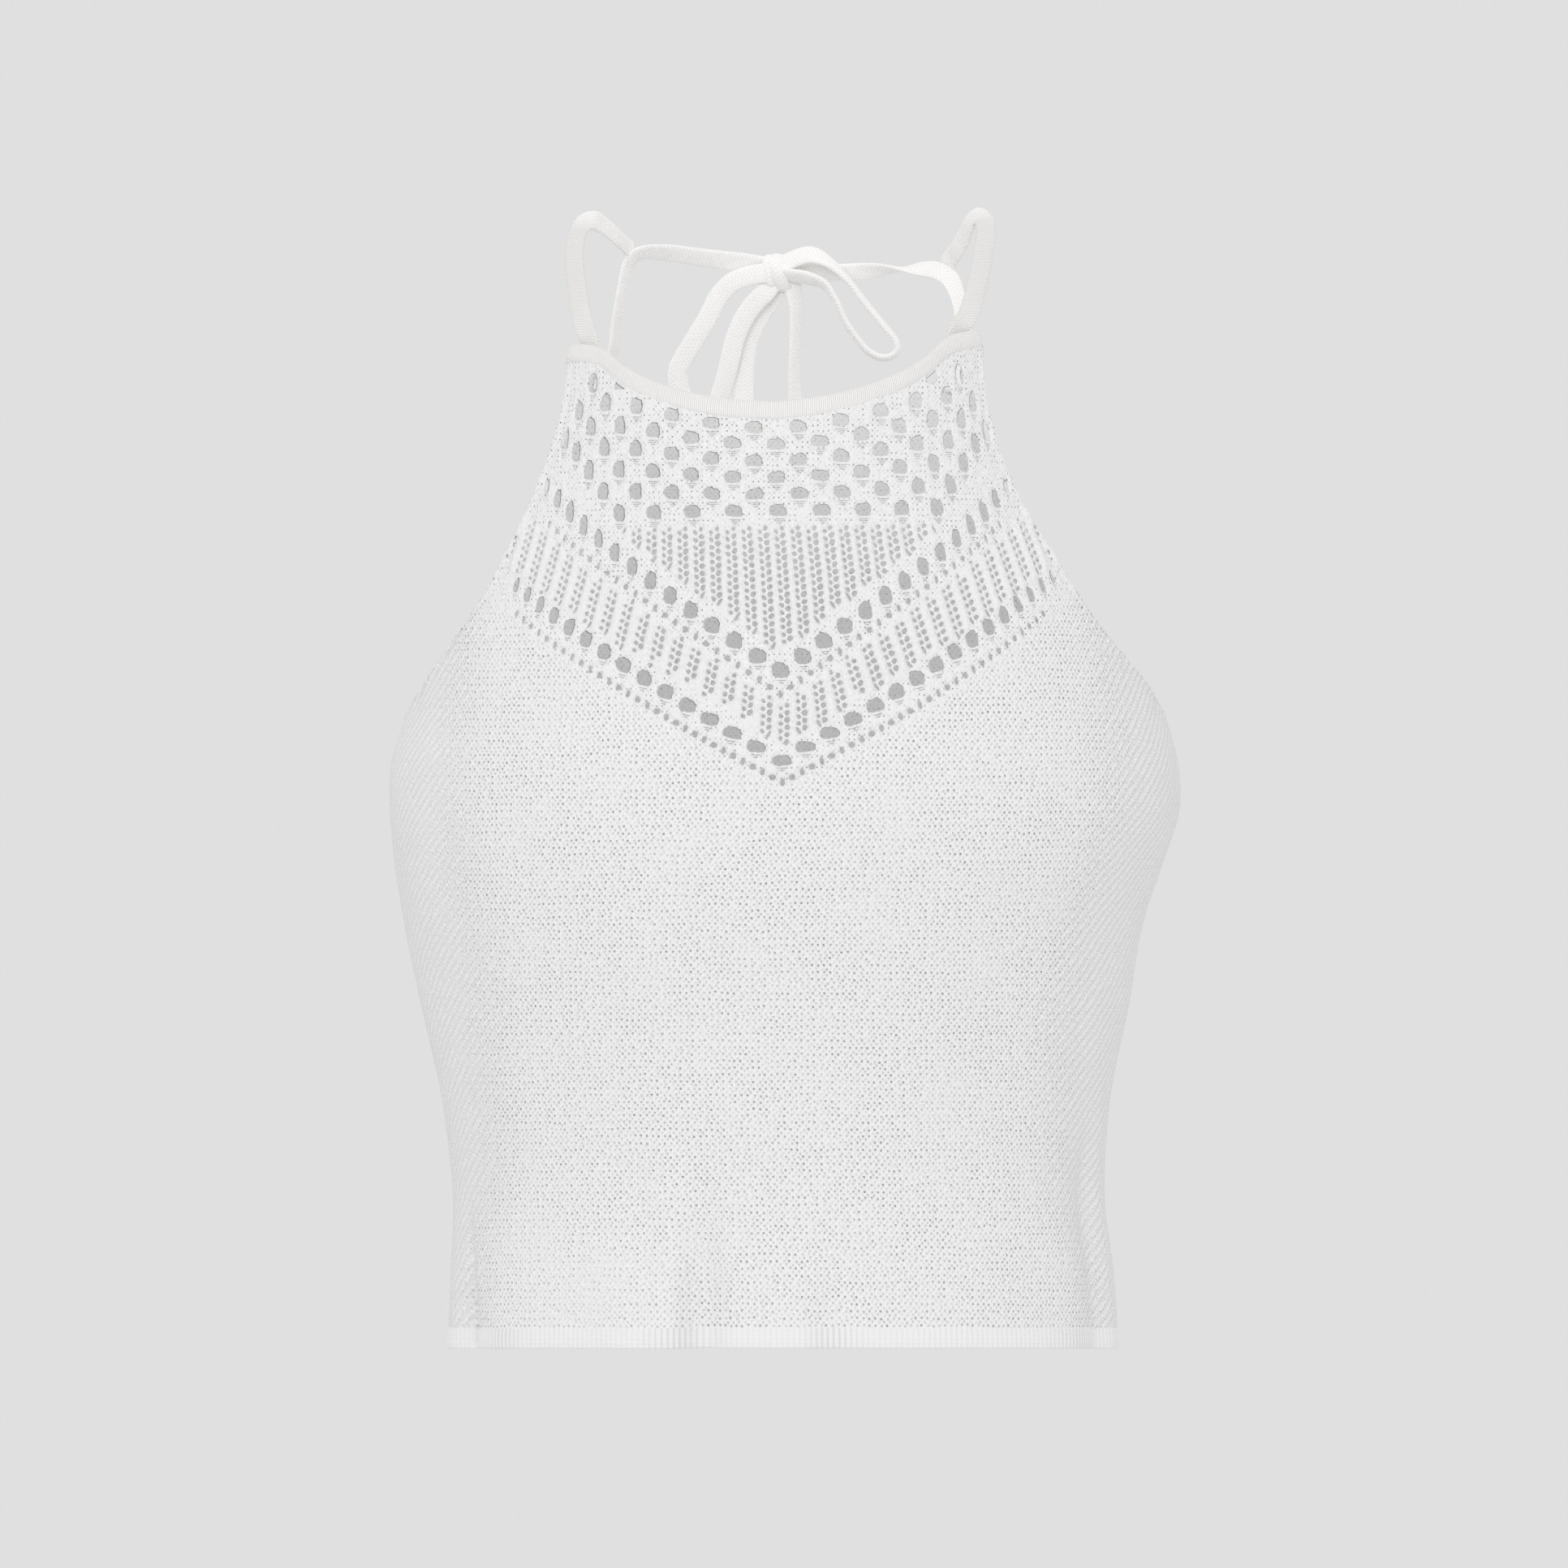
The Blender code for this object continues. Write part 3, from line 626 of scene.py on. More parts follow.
# Points every step along the smooth curve through the rows, with the tape's across direction
# carried along and kept square to the curve, and the direction square to both.
def smoothRoute(rows, step):
    rows = np.array(rows, float)
    chord = runningLength(rows[:, :3])
    slopes = np.gradient(rows, chord, axis=0)
    at = np.linspace(0, chord[-1], max(3, int(round(chord[-1] / step)) + 1))
    k = np.clip(np.searchsorted(chord, at) - 1, 0, len(chord) - 2)
    span = (chord[k + 1] - chord[k])[:, None]
    t = ((at - chord[k]) / span[:, 0])[:, None]
    ease = t * t * (3 - 2 * t)
    curve = rows[k] * (1 - ease) + rows[k + 1] * ease
    curve += span * ((t ** 3 - 2 * t * t + t) * slopes[k] + (t ** 3 - t * t) * slopes[k + 1])
    points, across = curve[:, :3], curve[:, 3:]
    tangent = np.gradient(points, axis=0)
    tangent /= np.linalg.norm(tangent, axis=1, keepdims=True)
    across -= np.sum(across * tangent, axis=1, keepdims=True) * tangent
    across /= np.linalg.norm(across, axis=1, keepdims=True)
    return points, across, np.cross(tangent, across)


# A rounded flat outline: the superellipse |x|^p + |y|^p = 1 by its angle.
def roundedOutline(sides, power):
    turn = (np.arange(sides) + 0.5) * 2 * np.pi / sides
    x = np.sign(np.cos(turn)) * np.abs(np.cos(turn)) ** (2 / power)
    y = np.sign(np.sin(turn)) * np.abs(np.sin(turn)) ** (2 / power)
    return x, y


# A tape: a rounded flat section carried along its route, drawn in at its two ends.
def addTape(name, node, rows, farEnd, thickness):
    points, across, face = smoothRoute(rows, tape["step"])
    x, y = roundedOutline(tape["sides"], tape["squareness"])
    along = runningLength(points)
    near = np.minimum(along, along[-1] - along) / tape["endRound"]
    drawn = np.where(near < 1, 0.45 + 0.55 * np.sqrt(np.clip(near * (2 - near), 0, 1)), 1)[:, None]
    wide = x * tape["width"] / 2 * (1 - 0.15 * (1 - drawn))
    thick = y * thickness / 2 * drawn
    sections = points[:, None] + across[:, None] * wide[..., None] + face[:, None] * thick[..., None]
    around = wayRound(x * tape["width"] / 2, y * thickness / 2)
    finish = strapFinish if name.startswith("strap") else tapeFinish
    piece = addTube(name, sections, finish, around, along)
    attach(piece, "root")
    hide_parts(node)
    return {"piece": piece, "path": points * mm, "length": along[-1] * mm, "farEnd": farEnd}


# Route row of a tape that lies on a panel, with the tape's width level along the panel, to the
# right (1) or to the left (-1).
def sewn(side, angle, height, out, rightwards=1):
    along = onForm(side, angle + 1.0, height) - onForm(side, angle - 1.0, height)
    return (*onForm(side, angle, height, out), *(rightwards * along / np.linalg.norm(along)))


behindBinding = form["bindingProud"] - form["bindingDepth"] - form["seamGap"] - tape["thickness"] / 2
insideBack = -form["thickness"] - form["seamGap"] - tape["thickness"] / 2 - 0.2
onBack = form["seamGap"] + tape["thickness"] / 2 + 0.2

# Routes: x, y, z of the middle line, then the direction across the tape.
routes = {
    "strapLeft": (
        sewn("front", -50.7, -57.0, behindBinding, -1),
        sewn("front", -51.2, -51.5, behindBinding - 0.4, -1),
        (-75.6, -30.0, -44.6, -0.92, 0.39, 0),
        (-77.2, -23.5, -37.0, -0.82, 0.57, 0),
        (-78.8, -13.0, -27.8, -0.78, 0.62, 0),
        (-79.7, -3.5, -19.8, -0.80, 0.60, 0),
        (-79.7, 4.0, -12.7, -0.80, 0.60, 0.10),
        (-78.6, 9.5, -7.0, -0.70, 0.60, 0.32),
        (-75.8, 14.5, -3.1, -0.35, 0.45, 0.70),
        (-72.2, 19.5, -2.1, 0.08, 0.22, 0.93),
        (-68.9, 25.0, -3.7, 0.02, 0.28, 0.95),
        (-65.0, 31.5, -6.8, 0.00, 0.30, 0.95),
        (-61.3, 41.5, -9.9, 0.00, 0.30, 0.95),
        (-58.6, 49.6, -12.4, 0.10, 0.25, 0.93),
    ),
    "strapRight": (
        sewn("front", 48.4, -53.5, behindBinding),
        sewn("front", 49.4, -48.0, behindBinding - 0.4),
        (69.2, -31.5, -40.9, 0.92, 0.39, 0),
        (72.3, -22.5, -31.7, 0.88, 0.48, 0),
        (74.6, -12.0, -22.1, 0.86, 0.50, 0),
        (76.2, -2.5, -13.5, 0.84, 0.52, 0.05),
        (77.0, 4.5, -7.0, 0.80, 0.55, 0.20),
        (76.1, 10.0, -2.4, 0.60, 0.50, 0.50),
        (73.5, 15.5, -0.9, 0.15, 0.30, 0.90),
        (71.0, 22.0, -3.4, -0.20, 0.15, 0.90),
        (68.9, 30.0, -8.0, -0.33, 0.18, 0.85),
        (66.4, 37.5, -12.4, -0.35, 0.20, 0.85),
        (64.4, 46.5, -14.6, -0.35, 0.20, 0.85),
        (62.3, 53.2, -17.8, -0.35, 0.20, 0.85),
    ),
    "tieLeft": (
        sewn("back", -45.0, -66.0, insideBack),
        sewn("back", -44.4, -60.0, insideBack),
        (-65.9, 43.0, -51.9, 0.50, 0.87, 0),
        (-64.5, 44.0, -40.7, 0.45, 0.89, 0),
        (-63.0, 45.0, -31.2, 0.45, 0.89, 0),
        (-61.4, 45.8, -22.8, 0.45, 0.89, -0.10),
        (-60.3, 46.2, -18.1, 0.42, 0.86, -0.25),
        (-58.1, 46.8, -14.6, 0.30, 0.82, -0.45),
        (-54.1, 48.5, -12.7, 0.10, 0.80, -0.55),
        (-48.2, 51.0, -12.4, 0.00, 0.75, -0.65),
        (-42.0, 54.0, -12.8, 0.00, 0.68, -0.73),
        (-34.8, 57.0, -13.8, 0.00, 0.60, -0.80),
        (-24.8, 60.5, -14.9, 0.00, 0.50, -0.86),
        (-14.4, 62.8, -15.9, 0.00, 0.50, -0.86),
        (-6.6, 63.6, -17.2, 0.00, 0.50, -0.86),
    ),
    "tieRight": (
        sewn("back", 46.5, -66.0, insideBack),
        sewn("back", 46.3, -59.0, insideBack),
        (66.8, 40.2, -50.5, 0.90, -0.25, 0),
        (68.6, 41.8, -43.5, 0.84, 0.45, 0),
        (68.3, 43.5, -36.0, 0.76, 0.64, 0),
        (66.4, 45.0, -28.6, 0.76, 0.63, 0.15),
        (63.5, 46.5, -22.7, 0.70, 0.38, 0.60),
        (59.1, 48.5, -19.8, 0.38, 0.40, 0.83),
        (52.6, 51.5, -18.8, 0.12, 0.72, 0.68),
        (46.0, 54.5, -18.8, 0.00, 0.99, 0.10),
        (37.3, 58.0, -18.8, 0.00, 0.84, -0.50),
        (29.5, 60.5, -19.3, 0.00, 0.66, -0.74),
        (20.1, 62.6, -19.8, 0.00, 0.58, -0.80),
        (10.0, 63.6, -19.6, 0.00, 0.55, -0.82),
        (1.7, 63.8, -19.5, 0.00, 0.55, -0.82),
    ),
    "loopLeft": (
        (-6.6, 59.4, -20.0, 0.00, 0.10, 1.00),
        (-12.9, 58.9, -21.0, -0.20, 0.05, 1.00),
        (-19.4, 58.9, -23.4, -0.45, 0.00, 0.85),
        (-24.5, 59.6, -28.1, -0.70, 0.00, 0.70),
        (-29.2, 60.4, -36.8, -0.88, 0.00, 0.45),
        (-34.8, 61.2, -46.1, -0.86, 0.00, 0.50),
        (-38.9, 62.0, -53.0, -0.92, 0.05, 0.38),
        (-41.0, 62.6, -57.6, -1.00, 0.10, 0.10),
        (-40.8, 63.2, -62.5, -1.00, 0.15, -0.05),
        (-39.3, 63.8, -67.8, -0.90, 0.30, -0.30),
        (-36.5, 64.2, -73.2, -0.60, 0.60, -0.60),
        (-32.7, 64.4, -76.6, -0.10, 0.85, -0.70),
        (-28.7, 64.2, -75.0, 0.50, 0.60, -0.60),
        (-25.6, 63.9, -70.6, 0.85, 0.30, -0.30),
        (-23.9, 63.6, -65.0, 0.97, 0.10, -0.10),
        (-22.0, 63.3, -58.5, 0.99, 0.00, -0.15),
        (-20.4, 62.9, -51.5, 0.98, 0.00, -0.20),
        (-18.5, 62.4, -44.2, 0.95, 0.00, -0.30),
        (-15.1, 61.6, -36.8, 0.86, 0.00, -0.50),
        (-10.4, 60.6, -30.6, 0.75, 0.00, -0.65),
        (-7.6, 60.2, -27.9, 0.70, 0.00, -0.70),
    ),
    "tailLeft": (
        (-3.6, 64.6, -27.6, 0.80, 0.00, -0.60),
        (-8.0, 65.5, -34.2, 0.82, 0.00, -0.56),
        (-11.3, 65.7, -40.2, 0.90, 0.00, -0.42),
        (-13.8, 65.8, -46.5, 0.96, 0.00, -0.28),
        (-15.1, 65.7, -54.0, 0.99, 0.00, -0.10),
        (-15.4, 65.4, -61.5, 1.00, 0.00, 0.00),
        (-15.6, 64.9, -69.3, 1.00, 0.00, 0.00),
        sewn("back", -8.0, -79.0, onBack + 0.4),
        sewn("back", -8.2, -88.0, onBack),
        sewn("back", -9.0, -97.0, onBack),
        sewn("back", -9.8, -106.0, onBack),
    ),
    "tailRight": (
        (3.4, 63.2, -25.2, 0.86, 0.50, 0),
        (4.7, 63.8, -33.2, 0.66, 0.75, 0),
        (4.4, 64.4, -43.8, 0.52, 0.85, 0),
        (3.9, 64.9, -57.5, 0.50, 0.86, 0),
        (4.2, 65.3, -67.0, 0.60, 0.80, 0),
        (4.7, 65.4, -75.0, 0.80, 0.55, 0),
        sewn("back", 4.6, -84.0, onBack + 0.7),
        sewn("back", 5.2, -93.0, onBack),
        sewn("back", 5.8, -102.0, onBack),
    ),
    "loopRight": (
        (1.2, 60.2, -15.8, 0.00, 0.45, 0.90),
        (10.7, 56.8, -13.3, 0.10, 0.55, 0.80),
        (16.9, 55.9, -16.0, 0.15, 0.85, 0.45),
        (24.8, 55.9, -23.2, 0.10, 1.00, 0.10),
        (31.7, 56.5, -32.3, 0.10, 1.00, 0.08),
        (38.9, 57.4, -41.0, 0.10, 1.00, 0.08),
        (43.0, 58.0, -46.2, 0.10, 1.00, 0.05),
        (44.0, 58.3, -49.4, 0.10, 1.00, 0.00),
        (42.2, 58.5, -51.9, 0.10, 1.00, -0.05),
        (37.6, 58.5, -52.8, 0.05, 1.00, -0.10),
        (32.9, 58.3, -50.7, 0.00, 1.00, -0.10),
        (27.9, 57.8, -45.1, 0.00, 1.00, -0.10),
        (23.5, 57.0, -38.5, 0.00, 1.00, -0.10),
        (20.1, 56.2, -31.0, 0.00, 1.00, -0.10),
        (15.7, 55.9, -24.8, -0.10, 0.95, -0.25),
        (10.2, 56.6, -22.4, -0.10, 0.88, -0.45),
        (1.8, 59.6, -21.0, 0.00, 0.84, -0.52),
    ),
}
# Piece, CAD node, what its far end is, and the tape's fullness, since the worn tape is rounder
# than the pressed one; then the rows that run on into the knot before the first and after the last.
tapeEnds = (
    ("strapLeft", "strap_left", "object", 1.7, (), ()), ("strapRight", "strap_right", "object", 1.7, (), ()),
    ("tieLeft", "tie_left", "knot", 1.9, (), ()), ("tieRight", "tie_right", "knot", 1.9, (), ()),
    ("loopLeft", "bow_loop_left", "knot", 2.1, (), ((-3.6, 61.4, -22.4, 0.70, 0.00, -0.70),)),
    ("loopRight", "bow_loop_right", "knot", 2.7, ((-2.0, 61.6, -17.2, 0.00, 0.45, 0.90),),
     ((-2.0, 61.6, -20.6, 0.00, 0.84, -0.52),)),
    ("tailLeft", "tie_tail_left", "bare", 2.1, ((-2.0, 63.4, -21.4, 0.80, 0.00, -0.60),), ()),
    ("tailRight", "tie_tail_right", "bare", 2.0, ((0.6, 62.6, -19.5, 0.86, 0.50, 0.00),), ()),
)
tapes = {name: addTape(name, node, before + routes[name] + after, end, thickness)
         for name, node, end, thickness, before, after in tapeEnds}

# The knot: two folded strands wrapped round the ties, over a rounded core.
knot = {"centre": (-2.7, 62.5, -19.8), "core": (3.4, 3.4, 6.2), "rings": 15, "sides": 24,
        "reach": (3.2, 5.3), "stations": 72, "around": 16, "bulge": 0.12,
        "strandColumns": ("aside", "bow", "slant", "width", "depth"),
        "strands": ((-2.3, -1.4, -0.9, 1.9, 1.7), (1.3, -1.3, -1.5, 3.3, 2.3))}


# Each strand runs round the core in a loop of an ellipse, (depth cos, height sin), bowed to one
# side at its front; its section is an oval that lies against the core.
def makeKnot():
    centre = np.array(knot["centre"])
    turn = np.linspace(0, 2 * np.pi, knot["sides"], endpoint=False)
    tilt = np.linspace(-upright, upright, knot["rings"] + 2)[1:-1]
    level = np.cos(tilt)[:, None]
    unit = np.stack([level * np.cos(turn), level * np.sin(turn), np.sin(tilt)[:, None] + 0 * turn], axis=-1)
    parts = [(centre + unit * np.array(knot["core"])).reshape(-1, 3)]
    faces = gridQuads(knot["rings"], knot["sides"], wrapColumns=True).tolist()
    faces += capFaces(knot["rings"], knot["sides"])
    cloth = [np.zeros((sum(len(f) for f in faces), 2))]
    t = np.linspace(0, 2 * np.pi, knot["stations"], endpoint=False)
    p = np.linspace(0, 2 * np.pi, knot["around"], endpoint=False)
    depth, height = knot["reach"]
    for aside, bow, slant, width, thick in knot["strands"]:
        bowed = aside + bow * np.cos(t) + slant * np.sin(t)
        path = np.stack([bowed, -depth * np.cos(t), height * np.sin(t)], axis=-1)
        outward = np.stack([0 * t, -np.cos(t) / depth, np.sin(t) / height], axis=-1)
        outward /= np.linalg.norm(outward, axis=1, keepdims=True)
        sideways = np.array([1.0, 0, 0])
        bulge = 1 + knot["bulge"] * np.sin(3 * t + aside)
        section = (path[:, None] + sideways * (width * np.cos(p))[None, :, None]
                   + outward[:, None] * (thick * np.sin(p))[None, :, None] * bulge[:, None, None])
        first = sum(len(part) for part in parts)
        parts.append((centre + section).reshape(-1, 3))
        faces += (gridQuads(len(t), len(p), True, True) + first).tolist()
        around = np.linspace(0, 2 * np.pi * width, len(p) + 1)
        cloth.append(gridCorners(around, np.linspace(0, 2 * np.pi * height, len(t) + 1)))
    piece = addPiece("bowKnot", np.vstack(parts), faces, tapeFinish, np.vstack(cloth))
    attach(piece, "root")
    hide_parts("bow_knot")
    return piece


bowKnot = makeKnot()
for name in tapes:
    [bowKnot] if name == "tieLeft" else []
print("tapes and bow made")

# The front panel is worked out flat first: arc along the ring from the centre line, and height.
flat = {"lowest": -442.0, "highest": -34.0, "reach": 216.0, "furthest": 94,
        "arcStep": 0.5, "angleStep": 0.25}
tableHeights = np.arange(flat["lowest"], flat["highest"] + 1)
tableArcs = np.arange(-flat["reach"], flat["reach"] + flat["arcStep"], flat["arcStep"])
tableAngles = np.arange(-flat["furthest"], flat["furthest"] + flat["angleStep"], flat["angleStep"])


# Arc of every angle at every height: the running sum of the ellipse's element,
# sqrt((width cos)^2 + (depth sin)^2); and the same table read the other way.
def makeArcTables():
    turn = np.radians(tableAngles)
    width = ring("halfWidth", tableHeights)[:, None] * np.cos(turn)
    depth = ring("frontDepth", tableHeights)[:, None] * np.sin(turn)
    element = np.hypot(width, depth)
    steps = (element[:, 1:] + element[:, :-1]) / 2 * np.diff(turn)
    arcs = np.concatenate([np.zeros((len(tableHeights), 1)), np.cumsum(steps, axis=1)], axis=1)
    arcs -= arcs[:, [len(tableAngles) // 2]]
    return arcs, np.array([np.interp(tableArcs, row, tableAngles) for row in arcs])


arcTable, angleTable = makeArcTables()


# Value of a table between its four nearest entries.
def readTable(table, row, column):
    row = np.clip(row, 0, table.shape[0] - 1.001)
    column = np.clip(column, 0, table.shape[1] - 1.001)
    i, j = np.floor(row).astype(int), np.floor(column).astype(int)
    a, b = row - i, column - j
    low = table[i, j] * (1 - b) + table[i, j + 1] * b
    high = table[i + 1, j] * (1 - b) + table[i + 1, j + 1] * b
    return low * (1 - a) + high * a


def arcAt(angle, height):
    return readTable(arcTable, height - flat["lowest"], (angle - tableAngles[0]) / flat["angleStep"])


def angleAt(arc, height):
    return readTable(angleTable, height - flat["lowest"], (arc - tableArcs[0]) / flat["arcStep"])


# Points at an even spacing along a line of points.
def spacedAlong(points, spacing):
    far = runningLength(points)
    at = np.linspace(0, far[-1], int(far[-1] / spacing) + 1)
    return np.stack([np.interp(at, far, points[:, 0]), np.interp(at, far, points[:, 1])], axis=-1)


panel = {
    "edgeSpacing": 1.3, "hemSpacing": 2.2, "tuck": 1.5, "samples": 400, "sharpBelow": -419.5,
    "yokeSpacing": 1.35, "bodySpacing": 2.3, "innerSpacing": 4.4, "creaseSpacing": 2.6, "creaseTop": -360.0,
    "ringsOut": (0.42, 1.1), "ringClear": 0.36, "latticeClear": 0.62, "crestClear": 0.3, "innerClear": 0.9,
    "outerMargin": 0.45, "innerMargin": 0.9, "innerDepth": 1.5, "innerShift": (-0.3, -0.26),
    "mostShift": 0.9, "laceThinner": 0.6, "levelBetween": (-400, -230),
    "patch": (-78, 26), "patchBelow": (372, 400),      # where the gaps at the hem are weaker
}


# Outline of the front panel, laid flat, anticlockwise from the left end of the hem.
def frontOutline():
    seam, samples = form["sideSeam"], panel["samples"]
    across = np.linspace(-seam, seam, samples)
    low = hemLine("front", across) + form["ribHeight"] + form["seamGap"] / 2
    hem = np.stack([arcAt(across, low), low], axis=-1)
    up = np.linspace(low[0], form["underarm"], samples)
    side = np.stack([arcAt(seam, up), up], axis=-1)
    edges = {}
    for end in (-1, 1):
        top = panelTop("front", float(end)) + panel["tuck"]
        height = np.linspace(form["underarm"], top, samples * 3)
        edges[end] = np.stack([arcAt(armholeReach("front", height), height) * end, height], axis=-1)
    share = np.linspace(1, -1, samples)
    angle, place = yokeAngles("front", share, 1.0)
    top = panelTop("front", place) + panel["tuck"]
    neck = np.stack([arcAt(angle, top), top], axis=-1)
    side[-1] = edges[1][0]
    left = side * (-1, 1)
    edge, wide = panel["edgeSpacing"], panel["hemSpacing"]
    runs = [spacedAlong(hem, wide), spacedAlong(side, wide), spacedAlong(edges[1], edge),
            spacedAlong(neck, edge), spacedAlong(edges[-1][::-1], edge), spacedAlong(left[::-1], wide)]
    return np.vstack([run[:-1] for run in runs]), neck[::-1], edges[1]


outline, neckEdge, armholeEdge = frontOutline()


def neckAt(arc):
    return np.interp(arc, neckEdge[:, 0], neckEdge[:, 1]) - panel["tuck"]


def edgeAt(height):
    return np.interp(height, armholeEdge[:, 1], armholeEdge[:, 0], left=flat["reach"])


# Distance maps over the flat panel: to the nearest hole (negative inside it), and to the edge.
maps = {"cell": 0.25, "holeMargin": 3.0, "edgeMargin": 7.0}
mapArcs = np.arange(-flat["reach"], flat["reach"], maps["cell"])
mapHeights = np.arange(flat["lowest"], flat["highest"], maps["cell"])
holeMap = np.full((len(mapHeights), len(mapArcs)), 99.0)
edgeMap = np.full((len(mapHeights), len(mapArcs)), 99.0)


def readMap(table, points):
    return readTable(table, (points[:, 1] - flat["lowest"]) / maps["cell"],
                     (points[:, 0] + flat["reach"]) / maps["cell"])


# Stamps a line of points into a map: each cell near it keeps the least distance to its segments.
# Cells inside a closed line, by the count of crossings to their right, get a negative distance.
def stamp(table, line, margin, closed):
    after = np.roll(line, -1, axis=0) if closed else line[1:]
    before = line if closed else line[:-1]
    low, high = line.min(axis=0) - margin, line.max(axis=0) + margin
    i0, i1 = np.searchsorted(mapHeights, (low[1], high[1]))
    j0, j1 = np.searchsorted(mapArcs, (low[0], high[0]))
    x, z = np.meshgrid(mapArcs[j0:j1], mapHeights[i0:i1])
    x, z = x[..., None], z[..., None]
    run = after - before
    along = ((x - before[:, 0]) * run[:, 0] + (z - before[:, 1]) * run[:, 1]) / (run ** 2).sum(axis=1)
    along = np.clip(along, 0, 1)
    far = np.hypot(x - before[:, 0] - along * run[:, 0], z - before[:, 1] - along * run[:, 1]).min(axis=-1)
    if closed:
        spans = (before[:, 1] > z) != (after[:, 1] > z)
        rise = np.where(run[:, 1] == 0, 1, run[:, 1])
        crossing = spans & (x < before[:, 0] + (z - before[:, 1]) * run[:, 0] / rise)
        far = np.where(crossing.sum(axis=-1) % 2 == 1, -far, far)
    table[i0:i1, j0:j1] = np.minimum(table[i0:i1, j0:j1], far)


for start in range(0, len(outline), 12):
    stamp(edgeMap, outline[np.arange(start, start + 13) % len(outline)], maps["edgeMargin"], False)

# The openwork.  Every hole has an arc and a height for its centre, a width, a height and a tilt
# in degrees, anticlockwise.
honeycomb = {
    "rows": ((0, 8), (1, 9), (2, 10), (3, 11), (4, 12), (5, 11)),      # row and its furthest column
    "cornerRow": 6, "cornerColumns": (8, 10),
    "arc": (0.46, 84.1, -8.87), "lowest": (-115.56, 1.30, 0.64), "rise": (6.27, 0.04, 5.32, -3.31),
    "wide": (6.8, 1.05, 50), "narrowest": 4.0, "tall": (4.8, 2.2, 61), "tallest": 8.4, "tilt": 0.05,
}


# Honeycomb of large eyelets between the neckline and the ladders, rows counted from the lowest.
# Arc and height are polynomials of the column; the eyelets get narrower and taller outwards.
def honeycombHoles():
    cells = [(i, j) for j, most in honeycomb["rows"] for i in range(-most, most + 1, 2)]
    cells += [(i * end, honeycomb["cornerRow"]) for i in honeycomb["cornerColumns"] for end in (-1, 1)]
    i, j = np.array(cells, float).T
    q = i / 10
    a, b, c = honeycomb["arc"]
    arc = a + b * q + c * q * np.abs(q)
    h0, h1, h2 = honeycomb["lowest"]
    r0, r1, r2, r4 = honeycomb["rise"]
    height = h0 + h1 * q + h2 * q ** 2 + j * (r0 + r1 * q + r2 * q ** 2 + r4 * q ** 4)
    middle, less, reach = honeycomb["wide"]
    wide = np.maximum(middle - less * (arc / reach) ** 2, honeycomb["narrowest"])
    middle, more, reach = honeycomb["tall"]
    tall = np.minimum(middle + more * (arc / reach) ** 2, honeycomb["tallest"])
    return np.stack([arc, height, wide, tall, arc * honeycomb["tilt"]], axis=-1)


# The two rows of large eyelets in a V.  Arc and height follow the count from the apex.
veeColumns = ("count", "width", "height")
veeRows = {
    "upper": {
        "apex": (-1.2, -175.3), "left": (-0.85, -8.68, 0.107), "right": (-1.04, 8.463, -0.0726),
        "climb": (-175.9, 5.9, -0.036, 0.0), "counts": (13, 13), "tilt": 6.0,
        "sizes": ((0, 6.9, 6.0), (2, 6.5, 6.3), (4, 5.4, 7.0), (6, 4.7, 7.4), (9, 3.8, 7.4), (12, 3.5, 7.6),
                  (13, 2.5, 5.4)),
    },
    "lower": {
        "apex": (-0.8, -208.8), "left": (-1.3, -9.29, 0.117), "right": (-1.2, 9.11, -0.0986),
        "climb": (-208.8, 5.15, 0.0, -0.00016), "counts": (14, 15), "tilt": 14.5,
        "sizes": ((0, 7.6, 4.2), (2, 7.4, 4.8), (4, 6.8, 5.5), (8, 5.6, 6.4), (11, 4.2, 6.9), (13, 3.0, 6.3),
                  (15, 2.2, 5.2)),
    },
}


def veeHoles(name):
    row = veeRows[name]
    holes = [(*row["apex"], 0, 0)]
    for end, label, most in ((-1, "left", row["counts"][0]), (1, "right", row["counts"][1])):
        i = np.arange(1, most + 1)
        a, b, c = row[label]
        h0, h1, h2, h4 = row["climb"]
        tilt = end * row["tilt"] * np.minimum(i / 3, 1)
        holes += list(zip(a + b * i + c * i ** 2, h0 + h1 * i + h2 * i ** 2 + h4 * i ** 4, tilt, i))
    arc, height, tilt, i = np.array(holes, float).T
    sizes = [smooth(row["sizes"], veeColumns, size, i) for size in ("width", "height")]
    return np.stack([arc, height, *sizes, tilt], axis=-1)


# Rows of small eyelets under each V, narrow and round by turns.
smallRows = {
    "upper": {"centre": (-1.7, -184.1), "step": 3.83, "climb": (2.68, 0.0), "most": 24,
              "narrow": (1.5, 2.9), "round": (2.3, 2.2)},
    "lower": {"centre": (-0.8, -216.9), "step": 3.67, "climb": (1.93, 0.0088), "most": 29,
              "narrow": (1.7, 2.9), "round": (2.5, 2.3)},
}


def smallRowHoles(name):
    row = smallRows[name]
    k = np.arange(-row["most"], row["most"] + 1)
    n = np.abs(k)
    arc = row["centre"][0] + row["step"] * k
    height = row["centre"][1] + row["climb"][0] * n + row["climb"][1] * n ** 2
    narrow = n % 2 == 0
    shrink = 1 - 0.35 * easing(n, 8, row["most"])
    wide = np.where(narrow, row["narrow"][0], row["round"][0]) * shrink
    tall = np.where(narrow, row["narrow"][1], row["round"][1])
    return np.stack([arc, height, wide, tall, np.sign(k) * 14.0], axis=-1)


def smallRowHeight(name, arc):
    row = smallRows[name]
    n = np.abs(arc - row["centre"][0]) / row["step"]
    return row["centre"][1] + row["climb"][0] * n + row["climb"][1] * n ** 2


def veeHeight(name, arc):
    row = veeRows[name]
    spread = abs(row["left"][1]) - 0.8
    n = np.abs(arc - row["apex"][0]) / spread
    return row["apex"][1] + row["climb"][1] * n


